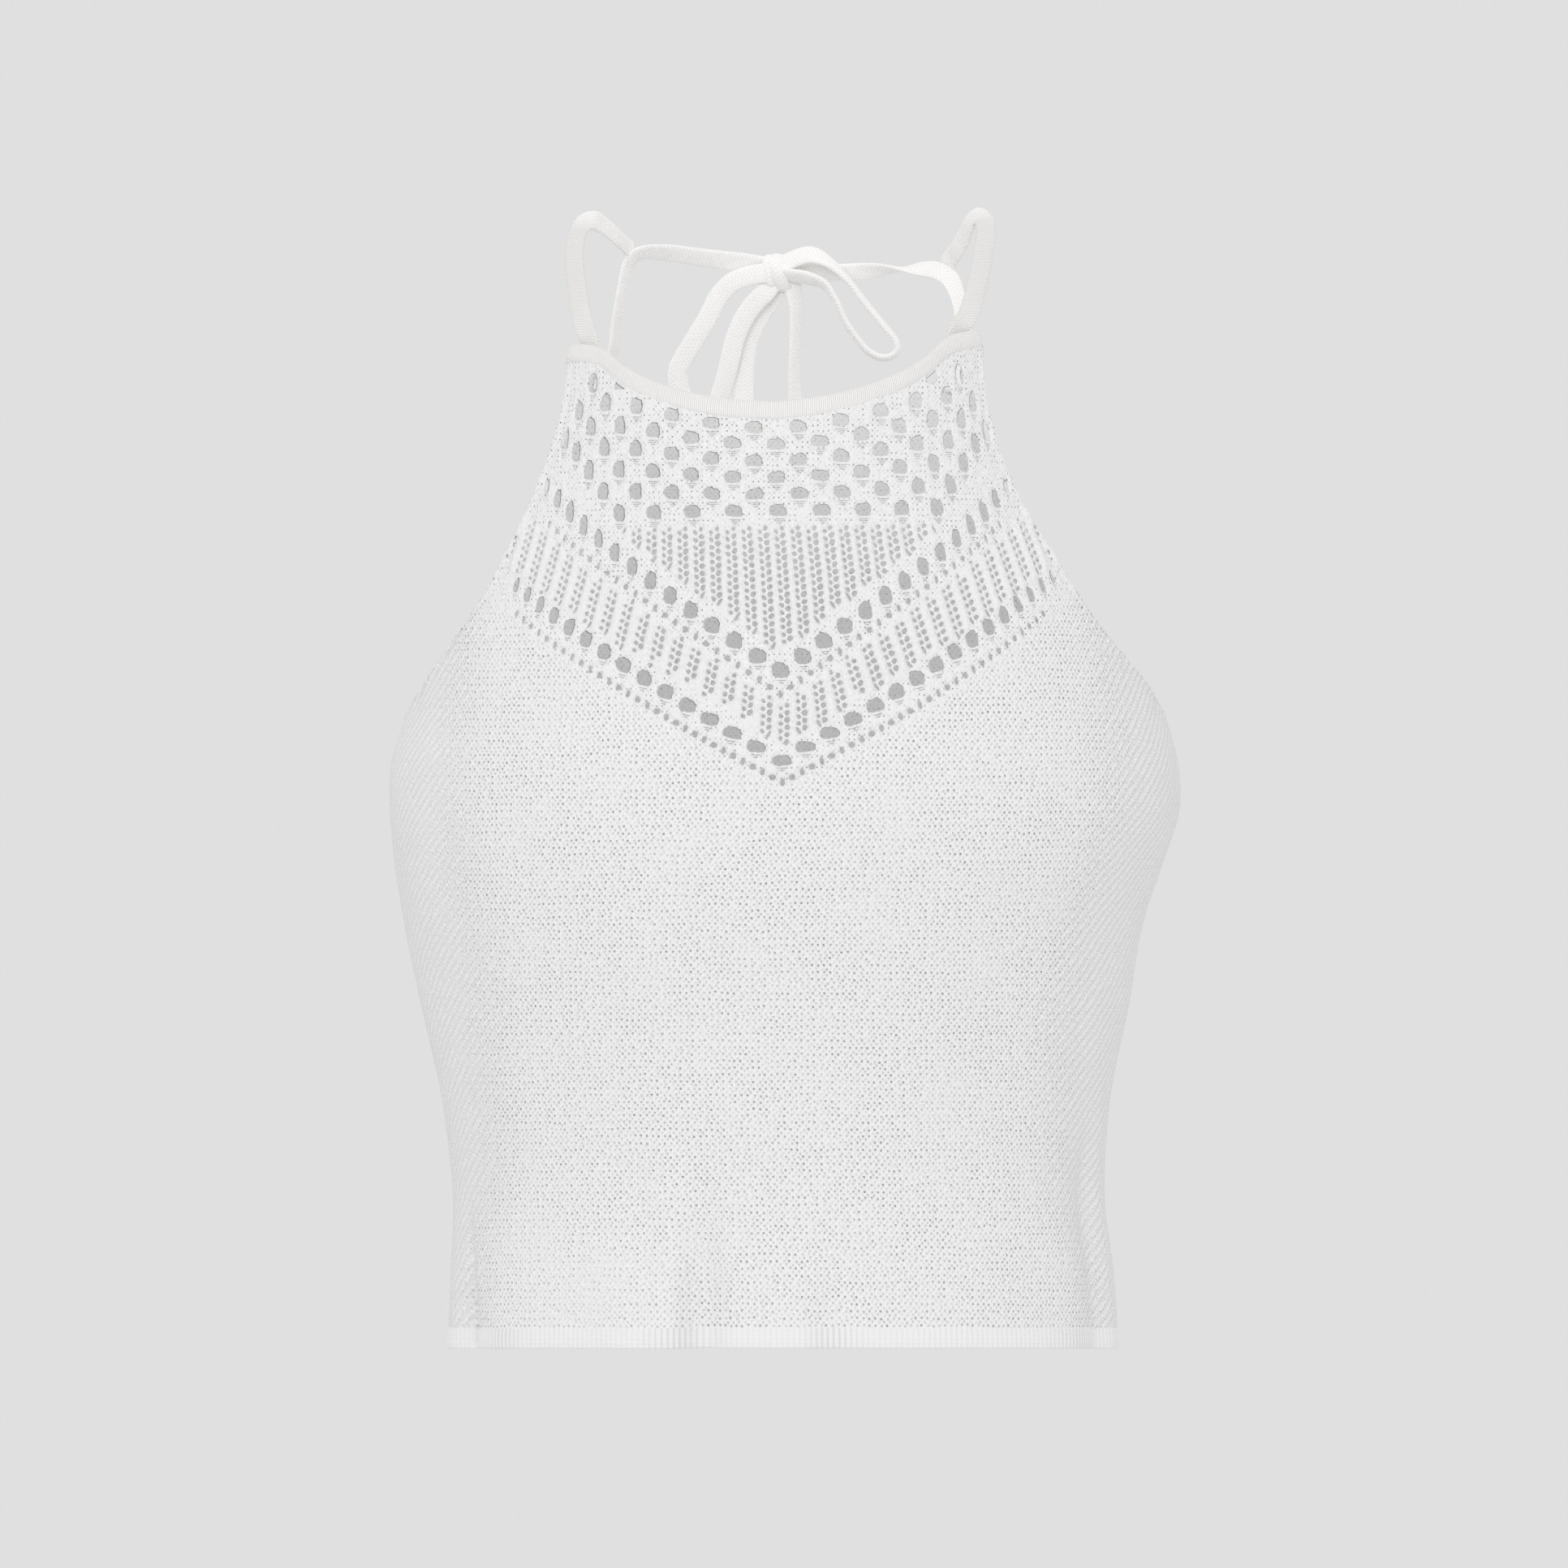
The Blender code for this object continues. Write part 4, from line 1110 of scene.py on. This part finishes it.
# Ladders: columns of paired small holes with a smooth rib between the columns.
ladders = {
    "upper": {"first": 0.2, "step": 6.06, "columns": 12, "top": -121.5, "pitch": 2.74},
    "lower": {"first": -0.6, "step": 6.35, "columns": 21, "top": -116.0, "pitch": 2.75},
}
ladder = {"apart": 1.14, "left": (1.6, 1.85), "right": (1.98, 2.3), "lean": 32.0, "slit": (1.2, 3.4),
          "ribWidth": 0.85, "ribHeight": 0.6}


# How far a column has moved sideways where it has dropped below its own top.
def ladderLean(name, start, drop):
    if name == "upper":
        return (0.035 + 0.0016 * start) * drop
    return 0.28 * np.sign(start) * (1 - bell(start, 0, 13.0)) * drop


def ladderTop(name, arc):
    if name == "upper":
        return ladders[name]["top"] + 1.3 * arc / 84 + 0.64 * (arc / 84) ** 2
    return smallRowHeight("upper", arc) - 4.6


def ladderFoot(name, arc):
    return veeHeight("upper" if name == "upper" else "lower", arc) + (6.6 if name == "upper" else 5.6)


# Which column a place belongs to, as a number with a fraction: the lean is taken off in a few rounds.
def ladderColumn(name, arc, height):
    start = arc
    for _ in range(4):
        drop = ladderTop(name, start) - height
        start = arc - ladderLean(name, start, drop)
    return (start - ladders[name]["first"]) / ladders[name]["step"]


def ladderHoles(name):
    row = ladders[name]
    k = np.arange(-row["columns"], row["columns"] + 1)[:, None, None]
    r = np.arange(0, 40)[None, :, None]
    hand = np.array([-1, 1])[None, None, :]
    start = row["first"] + row["step"] * k
    height = row["top"] - row["pitch"] * (r + 0.25 * hand)
    if name == "upper":
        height = height + ladderTop(name, start) - row["top"]
    drop = ladderTop(name, start) - height
    arc = start + ladderLean(name, start, drop) + hand * ladder["apart"]
    arc, height, hand = np.broadcast_arrays(arc, height, hand)
    kept = (drop > -0.1) & (height > ladderFoot(name, arc))
    below = np.concatenate([kept[:, 1:], np.zeros_like(kept[:, :1])], axis=1)
    outer = np.sign(start + 0.01) * hand < 0
    last = kept & ~below & outer & (np.abs(start) > 1)
    shrink = (1 - 0.22 * easing(np.abs(arc), 30, 105)) * (0.75 + 0.25 * easing(drop, 0, 4))
    wide = np.where(hand < 0, ladder["left"][0], ladder["right"][0]) * shrink
    tall = np.where(hand < 0, ladder["left"][1], ladder["right"][1]) * shrink
    tilt = np.where(last, np.sign(start) * ladder["lean"], -hand * ladder["lean"])
    wide = np.where(last, ladder["slit"][0] * shrink, wide)
    tall = np.where(last, ladder["slit"][1] * shrink, tall)
    return np.stack([arc, height, wide, tall, tilt], axis=-1)[kept]


# Puts outlines at the centres of their holes, turned by their tilt.
def turned(holes, x, z):
    arc, height, tilt = holes[:, 0:1], holes[:, 1:2], np.radians(holes[:, 4:5])
    return np.stack([arc + x * np.cos(tilt) - z * np.sin(tilt),
                     height + x * np.sin(tilt) + z * np.cos(tilt)], axis=-1)


# How each kind of hole is drawn: points round it, power of the superellipse, depth of the loops,
# arch of the lower edge, and how much one differs from the next.
holeStyles = {
    "honeycomb": (28, 2.6, 0.13, 0.2, 0.035), "vee": (28, 2.6, 0.13, 0.14, 0.035),
    "small": (9, 2.2, 0.0, 0.0, 0.07), "ladder": (8, 2.3, 0.0, 0.0, 0.08),
}


# Outlines of many holes at once: superellipses with loops of yarn that swell into them along the
# top and the right side, a small peak in the top, and a lower edge arched by the thread under it.
# Each is a little different, and turned by its tilt.
def holeOutlines(holes, style, draw):
    points, power, scallop, arch, spread = holeStyles[style]
    t = (np.arange(points) + 0.5) * 2 * np.pi / points
    x, z = roundedOutline(points, power)
    phase, peak, lean = draw.uniform(-1, 1, (3, len(holes), 1))
    edge = np.clip(0.35 + np.sin(t) + 0.6 * np.cos(t), 0, 1)
    lobes = 1 - scallop * edge * np.abs(np.sin(4.5 * t + 3 * phase))
    lobes = lobes + 1.3 * scallop * bell(t, np.pi / 2 - 0.45 * peak, 0.22)
    swell = 1 + spread * np.cos(2 * t + 9 * phase) + spread * np.sin(3 * t - 3 * lean)
    x, z = x * lobes * swell, z * lobes * swell
    x = x + 0.5 * scallop * lean * z
    z = np.where(np.sin(t) < 0, z + arch * np.clip(1 - x ** 2, 0, 1), z)
    return turned(holes, x * holes[:, 2:3] / 2, z * holes[:, 3:4] / 2)


slits = {      # distance under the eyelet and share of its width, for each slit
    "honeycomb": ((0.8, 0.8), (1.55, 0.56), (2.3, 0.32)), "vee": ((0.85, 0.62), (1.65, 0.34)),
    "thick": 0.3, "smile": 0.2,
}


# Slits between the threads under each large eyelet, shorter further down.
def slitOutlines(holes, rows):
    shape = np.array([(-1, 0), (-0.5, -1), (0.5, -1), (1, 0), (0.5, 1), (-0.5, 1)], float)
    wide, tall = holes[:, 2:3], holes[:, 3:4]
    made = []
    for under, share in rows:
        x = shape[:, 0] * wide / 2 * share
        z = shape[:, 1] * slits["thick"] / 2 + slits["smile"] * shape[:, 0] ** 2 - tall / 2 - under
        made.append(turned(holes, x, z))
    return np.vstack(made)


lace = {"seed": 7, "clearance": 0.24, "edgeClearance": 1.3, "neckClearance": 0.25, "neckMargin": 0.2,
        "slitClearance": 2.0, "leastHeight": 1.6, "scatter": 0.06, "sizes": (0.88, 1.1), "fadesIn": (-6, -2)}


# Cuts an outline off under the neckline: the points above it move onto it, evenly spaced.  The
# outline is taken from its lowest point, so that those points follow each other.
def cutAtNeck(line):
    line = np.roll(line, -np.argmin(line[:, 1]), axis=0)
    above = np.flatnonzero(line[:, 1] > neckAt(line[:, 0]) - lace["neckClearance"])
    if len(above):
        run = np.arange(above[0], above[-1] + 1)
        line[run, 0] = np.linspace(line[run[0], 0], line[run[-1], 0], len(run))
        line[run, 1] = neckAt(line[run, 0]) - lace["neckClearance"]
    return line


# Keeps the outlines that fit: inside the panel's edges and clear of the holes already placed.
def placeHoles(outlines):
    placed = []
    for line in outlines:
        inside = np.abs(line[:, 0]) < edgeAt(line[:, 1]) - lace["edgeClearance"]
        under = line[:, 1] < neckAt(line[:, 0]) - lace["neckMargin"]
        if inside.all() and under.all() and readMap(holeMap, line).min() > lace["clearance"]:
            stamp(holeMap, line, maps["holeMargin"], True)
            placed.append(line)
    return placed


def makeLace():
    draw = np.random.default_rng(lace["seed"])
    eyelets = honeycombHoles()
    upper, lower = veeHoles("upper"), veeHoles("lower")
    cut = [cutAtNeck(line) for line in holeOutlines(eyelets, "honeycomb", draw)]
    large = placeHoles([line for line in cut if np.ptp(line[:, 1]) > lace["leastHeight"]])
    for vee in (upper, lower):
        large += placeHoles(holeOutlines(vee, "vee", draw))
    whole = eyelets[eyelets[:, 1] < neckAt(eyelets[:, 0]) - lace["slitClearance"]]
    small = placeHoles(slitOutlines(whole, slits["honeycomb"]))
    small += placeHoles(slitOutlines(np.vstack([upper, lower]), slits["vee"]))
    for name in ("upper", "lower"):
        small += placeHoles(holeOutlines(smallRowHoles(name), "small", draw))
    for name in ("upper", "lower"):
        holes = ladderHoles(name)
        holes[:, :2] += draw.normal(0, lace["scatter"], (len(holes), 2))
        holes[:, 2:4] *= draw.uniform(*lace["sizes"], (len(holes), 2))
        small += placeHoles(holeOutlines(holes, "ladder", draw))
    return large, small


largeHoles, smallHoles = makeLace()
print("openwork charted:", len(largeHoles), "large holes and", len(smallHoles), "small ones")


# Points all round each outline, moved out by a distance along its normals.
def ringsAround(outlines, out):
    lines = np.array(outlines)
    run = np.roll(lines, -1, axis=1) - np.roll(lines, 1, axis=1)
    normal = np.stack([run[..., 1], -run[..., 0]], axis=-1)
    normal /= np.linalg.norm(normal, axis=-1, keepdims=True)
    return (lines + out * normal).reshape(-1, 2)


# Triangular lattice of points over the panel, each moved a little off its place.
def lattice(spacing, draw):
    rise = spacing * np.sqrt(0.75)
    x, z = np.meshgrid(np.arange(-flat["reach"], flat["reach"], spacing),
                       np.arange(flat["lowest"], flat["highest"], rise))
    x = x + (np.arange(len(x)) % 2)[:, None] * spacing / 2
    points = np.stack([x, z], axis=-1).reshape(-1, 2)
    return points + draw.uniform(-0.12, 0.12, points.shape) * spacing


def inPanel(points, margin):
    arc, height = points.T
    angle = angleAt(arc, height)
    low = hemLine("front", angle) + form["ribHeight"]
    kept = (height > low) & (height < neckAt(arc) + panel["tuck"]) & (np.abs(arc) < edgeAt(height))
    kept &= np.abs(angle) < form["sideSeam"]
    return kept & (readMap(edgeMap, points) > margin)


# How far a place lies inside the openwork: 1 above the border row of small eyelets, 0 below it.
def laceShare(points):
    return easing(points[:, 1] - smallRowHeight("lower", points[:, 0]), *lace["fadesIn"])


# How far a place lies inside a ladder: 1 between its top and its foot.
def ladderShare(name, points):
    arc, height = points.T
    low = easing(height - ladderFoot(name, arc) + 1.5, 0, 2)
    return easing(ladderTop(name, arc) + 1.5 - height, 0, 2) * low


# Crest lines of the ladders' ribs, halfway between two columns.
def ribLines():
    lines = []
    for name, row in ladders.items():
        k = np.arange(-row["columns"], row["columns"])[:, None] + 0.5
        start = row["first"] + row["step"] * k
        drop = np.arange(-2.0, 60.0, 1.2)[None, :]
        height = ladderTop(name, start) - drop
        arc = start + ladderLean(name, start, drop)
        kept = (drop > -1) & (height > ladderFoot(name, arc) - 1)
        for aside in (-0.55, 0.55):
            lines.append(np.stack(np.broadcast_arrays(arc + aside, height), axis=-1)[kept])
    return np.vstack(lines)


creaseColumns = ("side", "angle", "slant", "width", "depth", "starts", "full")
# Narrow troughs and ridges of the worn cloth, mm of arc; a slant moves them across as they rise.
creases = (
    ("front", -71.0, 0.02, 1.8, -4.4, -368, -412),
    ("front", -66.5, 0.02, 4.5, 1.7, -376, -415),
    ("front", -78.0, 0.02, 4.0, 1.0, -390, -424),
    ("front", -27.0, 0.03, 12.0, 2.5, -362, -415),
    ("front", -19.8, 0.03, 4.6, 3.2, -340, -405),
    ("front", -13.8, 0.02, 4.6, -4.2, -340, -405),
    ("front", 3.5, -0.02, 4.5, 1.0, -375, -420),
    ("front", 8.5, -0.02, 4.5, -1.8, -375, -420),
    ("front", 72.0, -0.05, 3.0, -0.9, -330, -372),
    ("front", 79.0, -0.05, 3.5, 0.7, -330, -372),
    ("back", -30.0, 0.03, 8.0, -1.1, -378, -420),
    ("back", 14.0, 0.0, 6.0, -1.4, -372, -418),
    ("back", 66.0, -0.03, 3.0, -1.2, -372, -414),
)


# Sum of the creases: a bell of arc across each one, that eases in from its start to its full depth.
def creaseHeight(side, angle, height):
    arc = arcAt(angle, height)
    total = np.zeros(np.shape(arc))
    for row in creases:
        crease = dict(zip(creaseColumns, row))
        if crease["side"] == side:
            middle = arcAt(crease["angle"], height) + crease["slant"] * (height - form["hemAtSides"])
            grown = easing(height, crease["starts"], crease["full"])
            total = total + crease["depth"] * grown * bell(arc, middle, crease["width"])
    return total


relief = {"roll": 0.42, "rollWidth": 0.5, "puff": 0.28, "puffAt": 1.7, "puffWidth": 0.9,
          "armRidge": 0.75, "armRidgeAt": 1.9, "armGroove": -0.35, "armGrooveAt": 4.1, "armGrooveWidth": 0.8,
          "armEdge": -0.7, "armWidths": {"front": (0.8, 0.7), "back": (0.9, 0.8)}, "seam": 0.5,
          "rimLift": 0.25, "rimWidth": 0.6}


# Height of a selvedge by the distance from its edge: a ridge beside an edge that is drawn in.
def selvedge(edge, side):
    ridgeWidth, edgeWidth = relief["armWidths"][side]
    return (relief["armRidge"] * bell(edge, relief["armRidgeAt"], ridgeWidth)
            + relief["armEdge"] * bell(edge, 0, edgeWidth))


# Height of the cloth's face over the form: it rolls in at every hole, swells between the holes,
# stands up in the ladders' ribs and in the selvedge of the armholes, and is slightly uneven.
def faceRelief(points):
    arc, height = points.T
    far = readMap(holeMap, points)
    out = -relief["roll"] * np.exp(-(np.maximum(far, 0) / relief["rollWidth"]) ** 2)
    out += relief["puff"] * bell(far, relief["puffAt"], relief["puffWidth"]) * laceShare(points)
    for name in ladders:
        column = ladderColumn(name, arc, height)
        aside = (column - np.floor(column) - 0.5) * ladders[name]["step"]
        out += ladder["ribHeight"] * bell(aside, 0, ladder["ribWidth"]) * ladderShare(name, points)
    edge = readMap(edgeMap, points)
    arm = easing(height, form["underarm"] - 3, form["underarm"] + 6) * easing(neckAt(arc) - height, 0, 6)
    arm = arm * (np.abs(arc) > edgeAt(height) - 12)
    groove = relief["armGroove"] * bell(edge, relief["armGrooveAt"], relief["armGrooveWidth"])
    out += arm * (selvedge(edge, "front") + groove)
    angle = angleAt(arc, height)
    seam = easing(form["underarm"] - height, 0, 10) * bell(form["sideSeam"] - np.abs(angle), 0, 0.5)
    return out - relief["seam"] * seam + unevenCloth(arc, height) + creaseHeight("front", angle, height)


# Height of the inner layer over the form: it comes nearer to the face round the holes and in the
# openwork.
def innerRelief(points, angle):
    far = np.maximum(readMap(holeMap, points), 0)
    out = -panel["innerDepth"] + relief["rimLift"] * np.exp(-(far / relief["rimWidth"]) ** 2)
    out += unevenCloth(*points.T)
    return out + (creaseHeight("front", angle, points[:, 1]) + panel["laceThinner"] * laceShare(points))


# Triangles of the flat panel without its holes.
def triangulate(loops, extra):
    points = np.vstack(loops + [extra])
    firsts = np.cumsum([0] + [len(line) for line in loops])
    faces = [list(range(firsts[n], firsts[n + 1])) for n in range(len(loops))]
    made = delaunay_2d_cdt(points.tolist(), [], faces, 1, 1e-5)
    if len(made[0]) != len(points):
        raise ValueError("two outlines of the openwork cross")
    kept = [face for face, origin in zip(made[2], made[5]) if list(origin) == [0]]
    return points, np.array(kept)


# The inner outline of a large hole: moved towards the side it is on, by the wall's depth times the
# tangent of its angle, so that its rim is as thin from the front as at the centre.
def innerOutline(line):
    arc, height = line.mean(axis=0)
    depth = panel["innerDepth"] - panel["laceThinner"]
    aside = panel["innerShift"][0] + depth * np.tan(np.radians(angleAt(arc, height)))
    return line + np.array([np.clip(aside, -panel["mostShift"], panel["mostShift"]), panel["innerShift"][1]])


# Points of the outer layer: rings round the large holes, the crests of the ladders' ribs, and a
# lattice that is finer in the openwork.
def outerNet(draw):
    near, further = (ringsAround(largeHoles, out) for out in panel["ringsOut"])
    rings = np.vstack([near, further[::2]])
    rings = rings[readMap(holeMap, rings) > panel["ringClear"]]
    fine = lattice(panel["yokeSpacing"], draw)
    fine = fine[(laceShare(fine) > 0.0) & (readMap(holeMap, fine) > panel["latticeClear"])]
    wide = lattice(panel["bodySpacing"], draw)
    wide = wide[(laceShare(wide) <= 0.0) & (readMap(holeMap, wide) > panel["latticeClear"])]
    crests = ribLines()
    crests = crests[readMap(holeMap, crests) > panel["crestClear"]]
    net = np.vstack([rings, crests, fine, wide])
    return net[inPanel(net, panel["outerMargin"])]


# Points of the inner layer: a wide lattice, closer where the hem is creased.
def innerNet(draw):
    rough = lattice(panel["innerSpacing"], draw)
    close = lattice(panel["creaseSpacing"], draw)
    net = np.vstack([rough[rough[:, 1] > panel["creaseTop"]], close[close[:, 1] <= panel["creaseTop"]]])
    net = net[readMap(holeMap, net) > panel["innerClear"]]
    return net[inPanel(net, panel["innerMargin"])]


# Quads that join the two layers round every outline, the holes' the other way round.
def rimQuads(loops, count):
    rims, first = [], 0
    for line in loops:
        here = first + np.arange(len(line))
        after = first + (np.arange(len(line)) + 1) % len(line)
        rims.append(np.stack([after, here, here + count, after + count], axis=-1))
        first += len(line)
    return rims[0].tolist() + np.vstack(rims[1:])[:, ::-1].tolist()


# Front panel: an outer and an inner layer, triangulated flat between matching outlines, laid on
# the form and joined round their rims.
def makeFront():
    draw = np.random.default_rng(lace["seed"] + 1)
    loops = [outline] + largeHoles + smallHoles
    outerPoints, outerFaces = triangulate(loops, outerNet(draw))
    innerLoops = [outline] + [innerOutline(line) for line in largeHoles] + smallHoles
    innerPoints, innerFaces = triangulate(innerLoops, innerNet(draw))
    outer = onForm("front", angleAt(*outerPoints.T), outerPoints[:, 1], faceRelief(outerPoints))
    angle = angleAt(*innerPoints.T)
    inner = onForm("front", angle, innerPoints[:, 1], innerRelief(innerPoints, angle))
    count = len(outer)
    faces = outerFaces.tolist() + (innerFaces[:, ::-1] + count).tolist() + rimQuads(loops, count)
    flatPoints = np.vstack([outerPoints, innerPoints])
    arc, height = flatPoints.T
    number = np.arange(len(flatPoints))
    lift = hemLine("front", angleAt(arc, height)) - form["hemAtSides"]
    level = easing(height, *panel["levelBetween"])
    cloth = np.stack([arc, height - lift * (1 - level) - form["hemAtSides"]], axis=-1)
    piece = addPiece("frontPanel", np.vstack([outer, inner]), faces, frontKnit, cloth)
    addValues(piece, "lace", laceShare(flatPoints))
    addValues(piece, "ladder", np.maximum(ladderShare("upper", flatPoints), ladderShare("lower", flatPoints)))
    addValues(piece, "outside", number < count)
    addValues(piece, "closed", bell(arc, *panel["patch"]) * easing(-height, *panel["patchBelow"]))
    keepSharp(piece, (number < len(outline)) & (height < panel["sharpBelow"]))
    return piece


frontPanel = makeFront()

back = {"columns": 150, "bodyRows": 92, "yokeRows": 64, "crowding": 1.6, "neckEdge": (-160, -120)}


# Back panel: rows from the rib's seam to the underarm, then narrowing rows up to the neckline.
def makeBack():
    seam = form["sideSeam"]
    share = np.linspace(-1, 1, back["columns"])
    angles, heights = [], []
    for up in np.linspace(0, 1, back["bodyRows"], endpoint=False):
        low = hemLine("back", share * seam) + form["ribHeight"] + form["seamGap"] / 2
        angles.append(share * seam)
        heights.append(low + up * (form["underarm"] - low))
    for up in np.linspace(0, 1, back["yokeRows"]) ** back["crowding"]:
        angle, across = yokeAngles("back", share, up)
        angles.append(angle)
        heights.append(form["underarm"] + up * (panelTop("back", across) - form["underarm"]))
    angle, height = np.array(angles), np.array(heights)
    place = onForm("back", angle, height)
    step = np.linalg.norm(np.diff(place, axis=1), axis=-1)
    arc = np.concatenate([np.zeros((len(angle), 1)), np.cumsum(step, axis=1)], axis=1)
    side = np.minimum(arc, arc[:, -1:] - arc)
    arc = arc - arc[:, -1:] / 2
    yoke = easing(height, form["underarm"] - 3, form["underarm"] + 6)
    top = heights[-1][None, :] - height
    worn = unevenCloth(arc + form["wornShift"]["back"], height) + creaseHeight("back", angle, height)
    out = worn
    for edge, strength in ((side, yoke), (top, easing(height, *back["neckEdge"]))):
        out = out + strength * selvedge(edge, "back")
    out = out - relief["seam"] * (1 - yoke) * bell(side, 0, 1.0)
    outer = onForm("back", angle, height, out)
    inner = onForm("back", angle, height, worn - panel["innerDepth"])
    piece = addWall("backPanel", outer, inner, backKnit, arc, height - form["hemAtSides"])
    keepSharp(piece, np.arange(2 * height.size) < back["columns"])
    return piece


backPanel = makeBack()

hemRib = {"pitch": 2.15, "perRidge": 6, "samples": 1500, "around": 16, "thickness": 1.9, "squareness": 4.0,
          "ridge": 0.42, "broadness": 0.6, "proud": 0.2, "tuck": 2.2, "drop": 0.95, "dropFrom": 7.0}


# Hem rib: a rounded section carried round the hem.  Its faces rise and fall with the ribs, as
# the power of a wave, which gives broad ridges and narrow grooves.
def makeRib(side):
    seam = form["sideSeam"]
    sample = np.linspace(-seam, seam, hemRib["samples"])
    line = onForm(side, sample, hemLine(side, sample) + form["ribHeight"] / 2)
    far = runningLength(line)
    stations = int(far[-1] / hemRib["pitch"] * hemRib["perRidge"])
    along = np.linspace(0, far[-1], stations)
    angle = np.interp(along, far, sample)
    x, z = roundedOutline(hemRib["around"], hemRib["squareness"])
    arc = along - far[-1] / 2
    ridges = np.abs(np.sin(np.pi * along / hemRib["pitch"])) ** hemRib["broadness"]
    strength = 0.75 + 0.25 * np.sin(along / 17.0) * np.sin(along / 7.3)
    swell = hemRib["ridge"] * (ridges * strength)[:, None] * x
    out = hemRib["proud"] - hemRib["thickness"] / 2 + x * hemRib["thickness"] / 2 + swell
    tall = form["ribHeight"] + hemRib["tuck"]
    height = hemLine(side, angle)[:, None] + tall * (0.5 + z / 2)
    out = out - hemRib["drop"] * easing(tall * (0.5 + z / 2) - hemRib["dropFrom"], 0, 2.4) * (x > 0)
    level = hemLine(side, angle) + form["ribHeight"]
    follow = creaseHeight(side, angle, level) + unevenCloth(arc + form["wornShift"][side], level)
    out = out + follow[:, None]
    sections = onForm(side, np.broadcast_to(angle[:, None], height.shape), height, out)
    around = wayRound(x * hemRib["thickness"] / 2, z * form["ribHeight"] / 2)
    return addTube("hemRib" + side.capitalize(), sections, ribKnit, around, along)


ribFront = makeRib("front")
ribBack = makeRib("back")

binding = {"stations": 190, "sides": 24, "squareness": 2.5, "endRound": 3.0}


# Neck binding: a rounded band carried along the front neckline, drawn in at its ends.
def makeBinding():
    share = np.linspace(-1, 1, binding["stations"])
    angle, across = yokeAngles("front", share, 1.0)
    middle = frontNeckline(across) - form["bindingHeight"] / 2
    line = onForm("front", angle, middle)
    along = runningLength(line)
    near = np.clip(np.minimum(along, along[-1] - along) / binding["endRound"], 0, 1)
    drawn = (0.55 + 0.45 * np.sqrt(near * (2 - near)))[:, None]
    x, z = roundedOutline(binding["sides"], binding["squareness"])
    lumps = 0.12 * np.sin(along / 4.7 + 1)[:, None] + 0.1 * np.sin(along / 2.9)[:, None]
    depth = form["bindingDepth"]
    out = form["bindingProud"] - depth / 2 + x * depth / 2 * drawn + lumps * np.maximum(x, 0)
    height = middle[:, None] + z * form["bindingHeight"] / 2 * drawn
    sections = onForm("front", np.broadcast_to(angle[:, None], height.shape), height, out)
    around = wayRound(x * depth / 2, z * form["bindingHeight"] / 2)
    return addTube("neckBinding", sections, bindingFinish, around, along)


neckBinding = makeBinding()
for piece, node, slot in ((frontPanel, "front_panel", "white_knit"), (backPanel, "back_panel", "white_knit"),
                          (ribFront, "hem_rib_front", "white_knit"), (ribBack, "hem_rib_back", "white_knit"),
                          (neckBinding, "neck_binding", "cream_trim")):
    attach(piece, "root")
    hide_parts(node)
print("panels, ribs and binding made")


# Light: an even pale room, large soft lamps in front, weaker ones aside and above, one behind.
studio = {"backdrop": 0.745, "room": (0.847, 0.844, 0.852), "floorHeight": -1.3, "floorRadius": 9.0,
          "floorColour": (0.88, 0.88, 0.88, 1), "floorRoughness": 0.9}
lamps = (      # name, place, size and power, colour
    ("frontLamp", (-0.5, -3.3, 0.9), 1.2, 17.7, (1, 0.995, 0.985)),
    ("keyLamp", (-1.3, -3.05, 1.0), 1.2, 6, (1, 0.995, 0.985)),
    ("sideLamp", (2.6, -2.1, 0.8), 1.2, 4.4, (1, 1, 1)),
    ("topLamp", (-0.2, -1.2, 2.4), 1.0, 1.3, (1, 1, 1)),
    ("backLamp", (0.8, 3.2, 1.6), 1.6, 11.2, (1, 1, 1)),
)


# World that the camera sees in one tone, and that lights the top with another.
def makeRoom():
    world = bpy.data.worlds.new("studio")
    bpy.context.scene.world = world
    world.use_nodes = True
    tree = world.node_tree
    tree.nodes.clear()
    seen = addNode(tree, "Background", {"Color": (studio["backdrop"],) * 3 + (1,)})
    lit = addNode(tree, "Background", {"Color": (*studio["room"], 1)})
    fromCamera = addNode(tree, "LightPath", {}, "Is Camera Ray")
    mixed = addNode(tree, "MixShader", {0: fromCamera, 1: lit, 2: seen})
    feed(tree, tree.nodes.new("ShaderNodeOutputWorld").inputs[0], mixed)


# A square lamp that faces the middle of the view.
def addLamp(name, place, size, power, colour):
    lamp = bpy.data.lights.new(name, "AREA")
    lamp.size = size
    lamp.energy = power
    lamp.color = colour
    holder = addObject(name, lamp)
    holder.location = place
    x, y, z = np.array([0, 0, view["height"] * mm]) - np.array(place)
    holder.rotation_euler = (np.arctan2(np.hypot(x, y), -z), 0, np.arctan2(-x, y))


def addFloor():
    turn = np.linspace(0, 2 * np.pi, 96, endpoint=False)
    disc = np.stack([np.cos(turn), np.sin(turn), 0 * turn], axis=-1) * studio["floorRadius"]
    disc[:, 2] = studio["floorHeight"]
    floor = addObject("floor", bpy.data.meshes.new("floor"))
    floor.data.from_pydata(disc.tolist(), [], [list(range(len(turn)))])
    paint = bpy.data.materials.new("floorPaint")
    paint.use_nodes = True
    shader = paint.node_tree.nodes["Principled BSDF"]
    shader.inputs["Base Color"].default_value = studio["floorColour"]
    shader.inputs["Roughness"].default_value = studio["floorRoughness"]
    floor.data.materials.append(paint)


makeRoom()
for lampRow in lamps:
    addLamp(*lampRow)
addFloor()
bpy.context.scene.view_settings.view_transform = "Standard"
print("studio set")
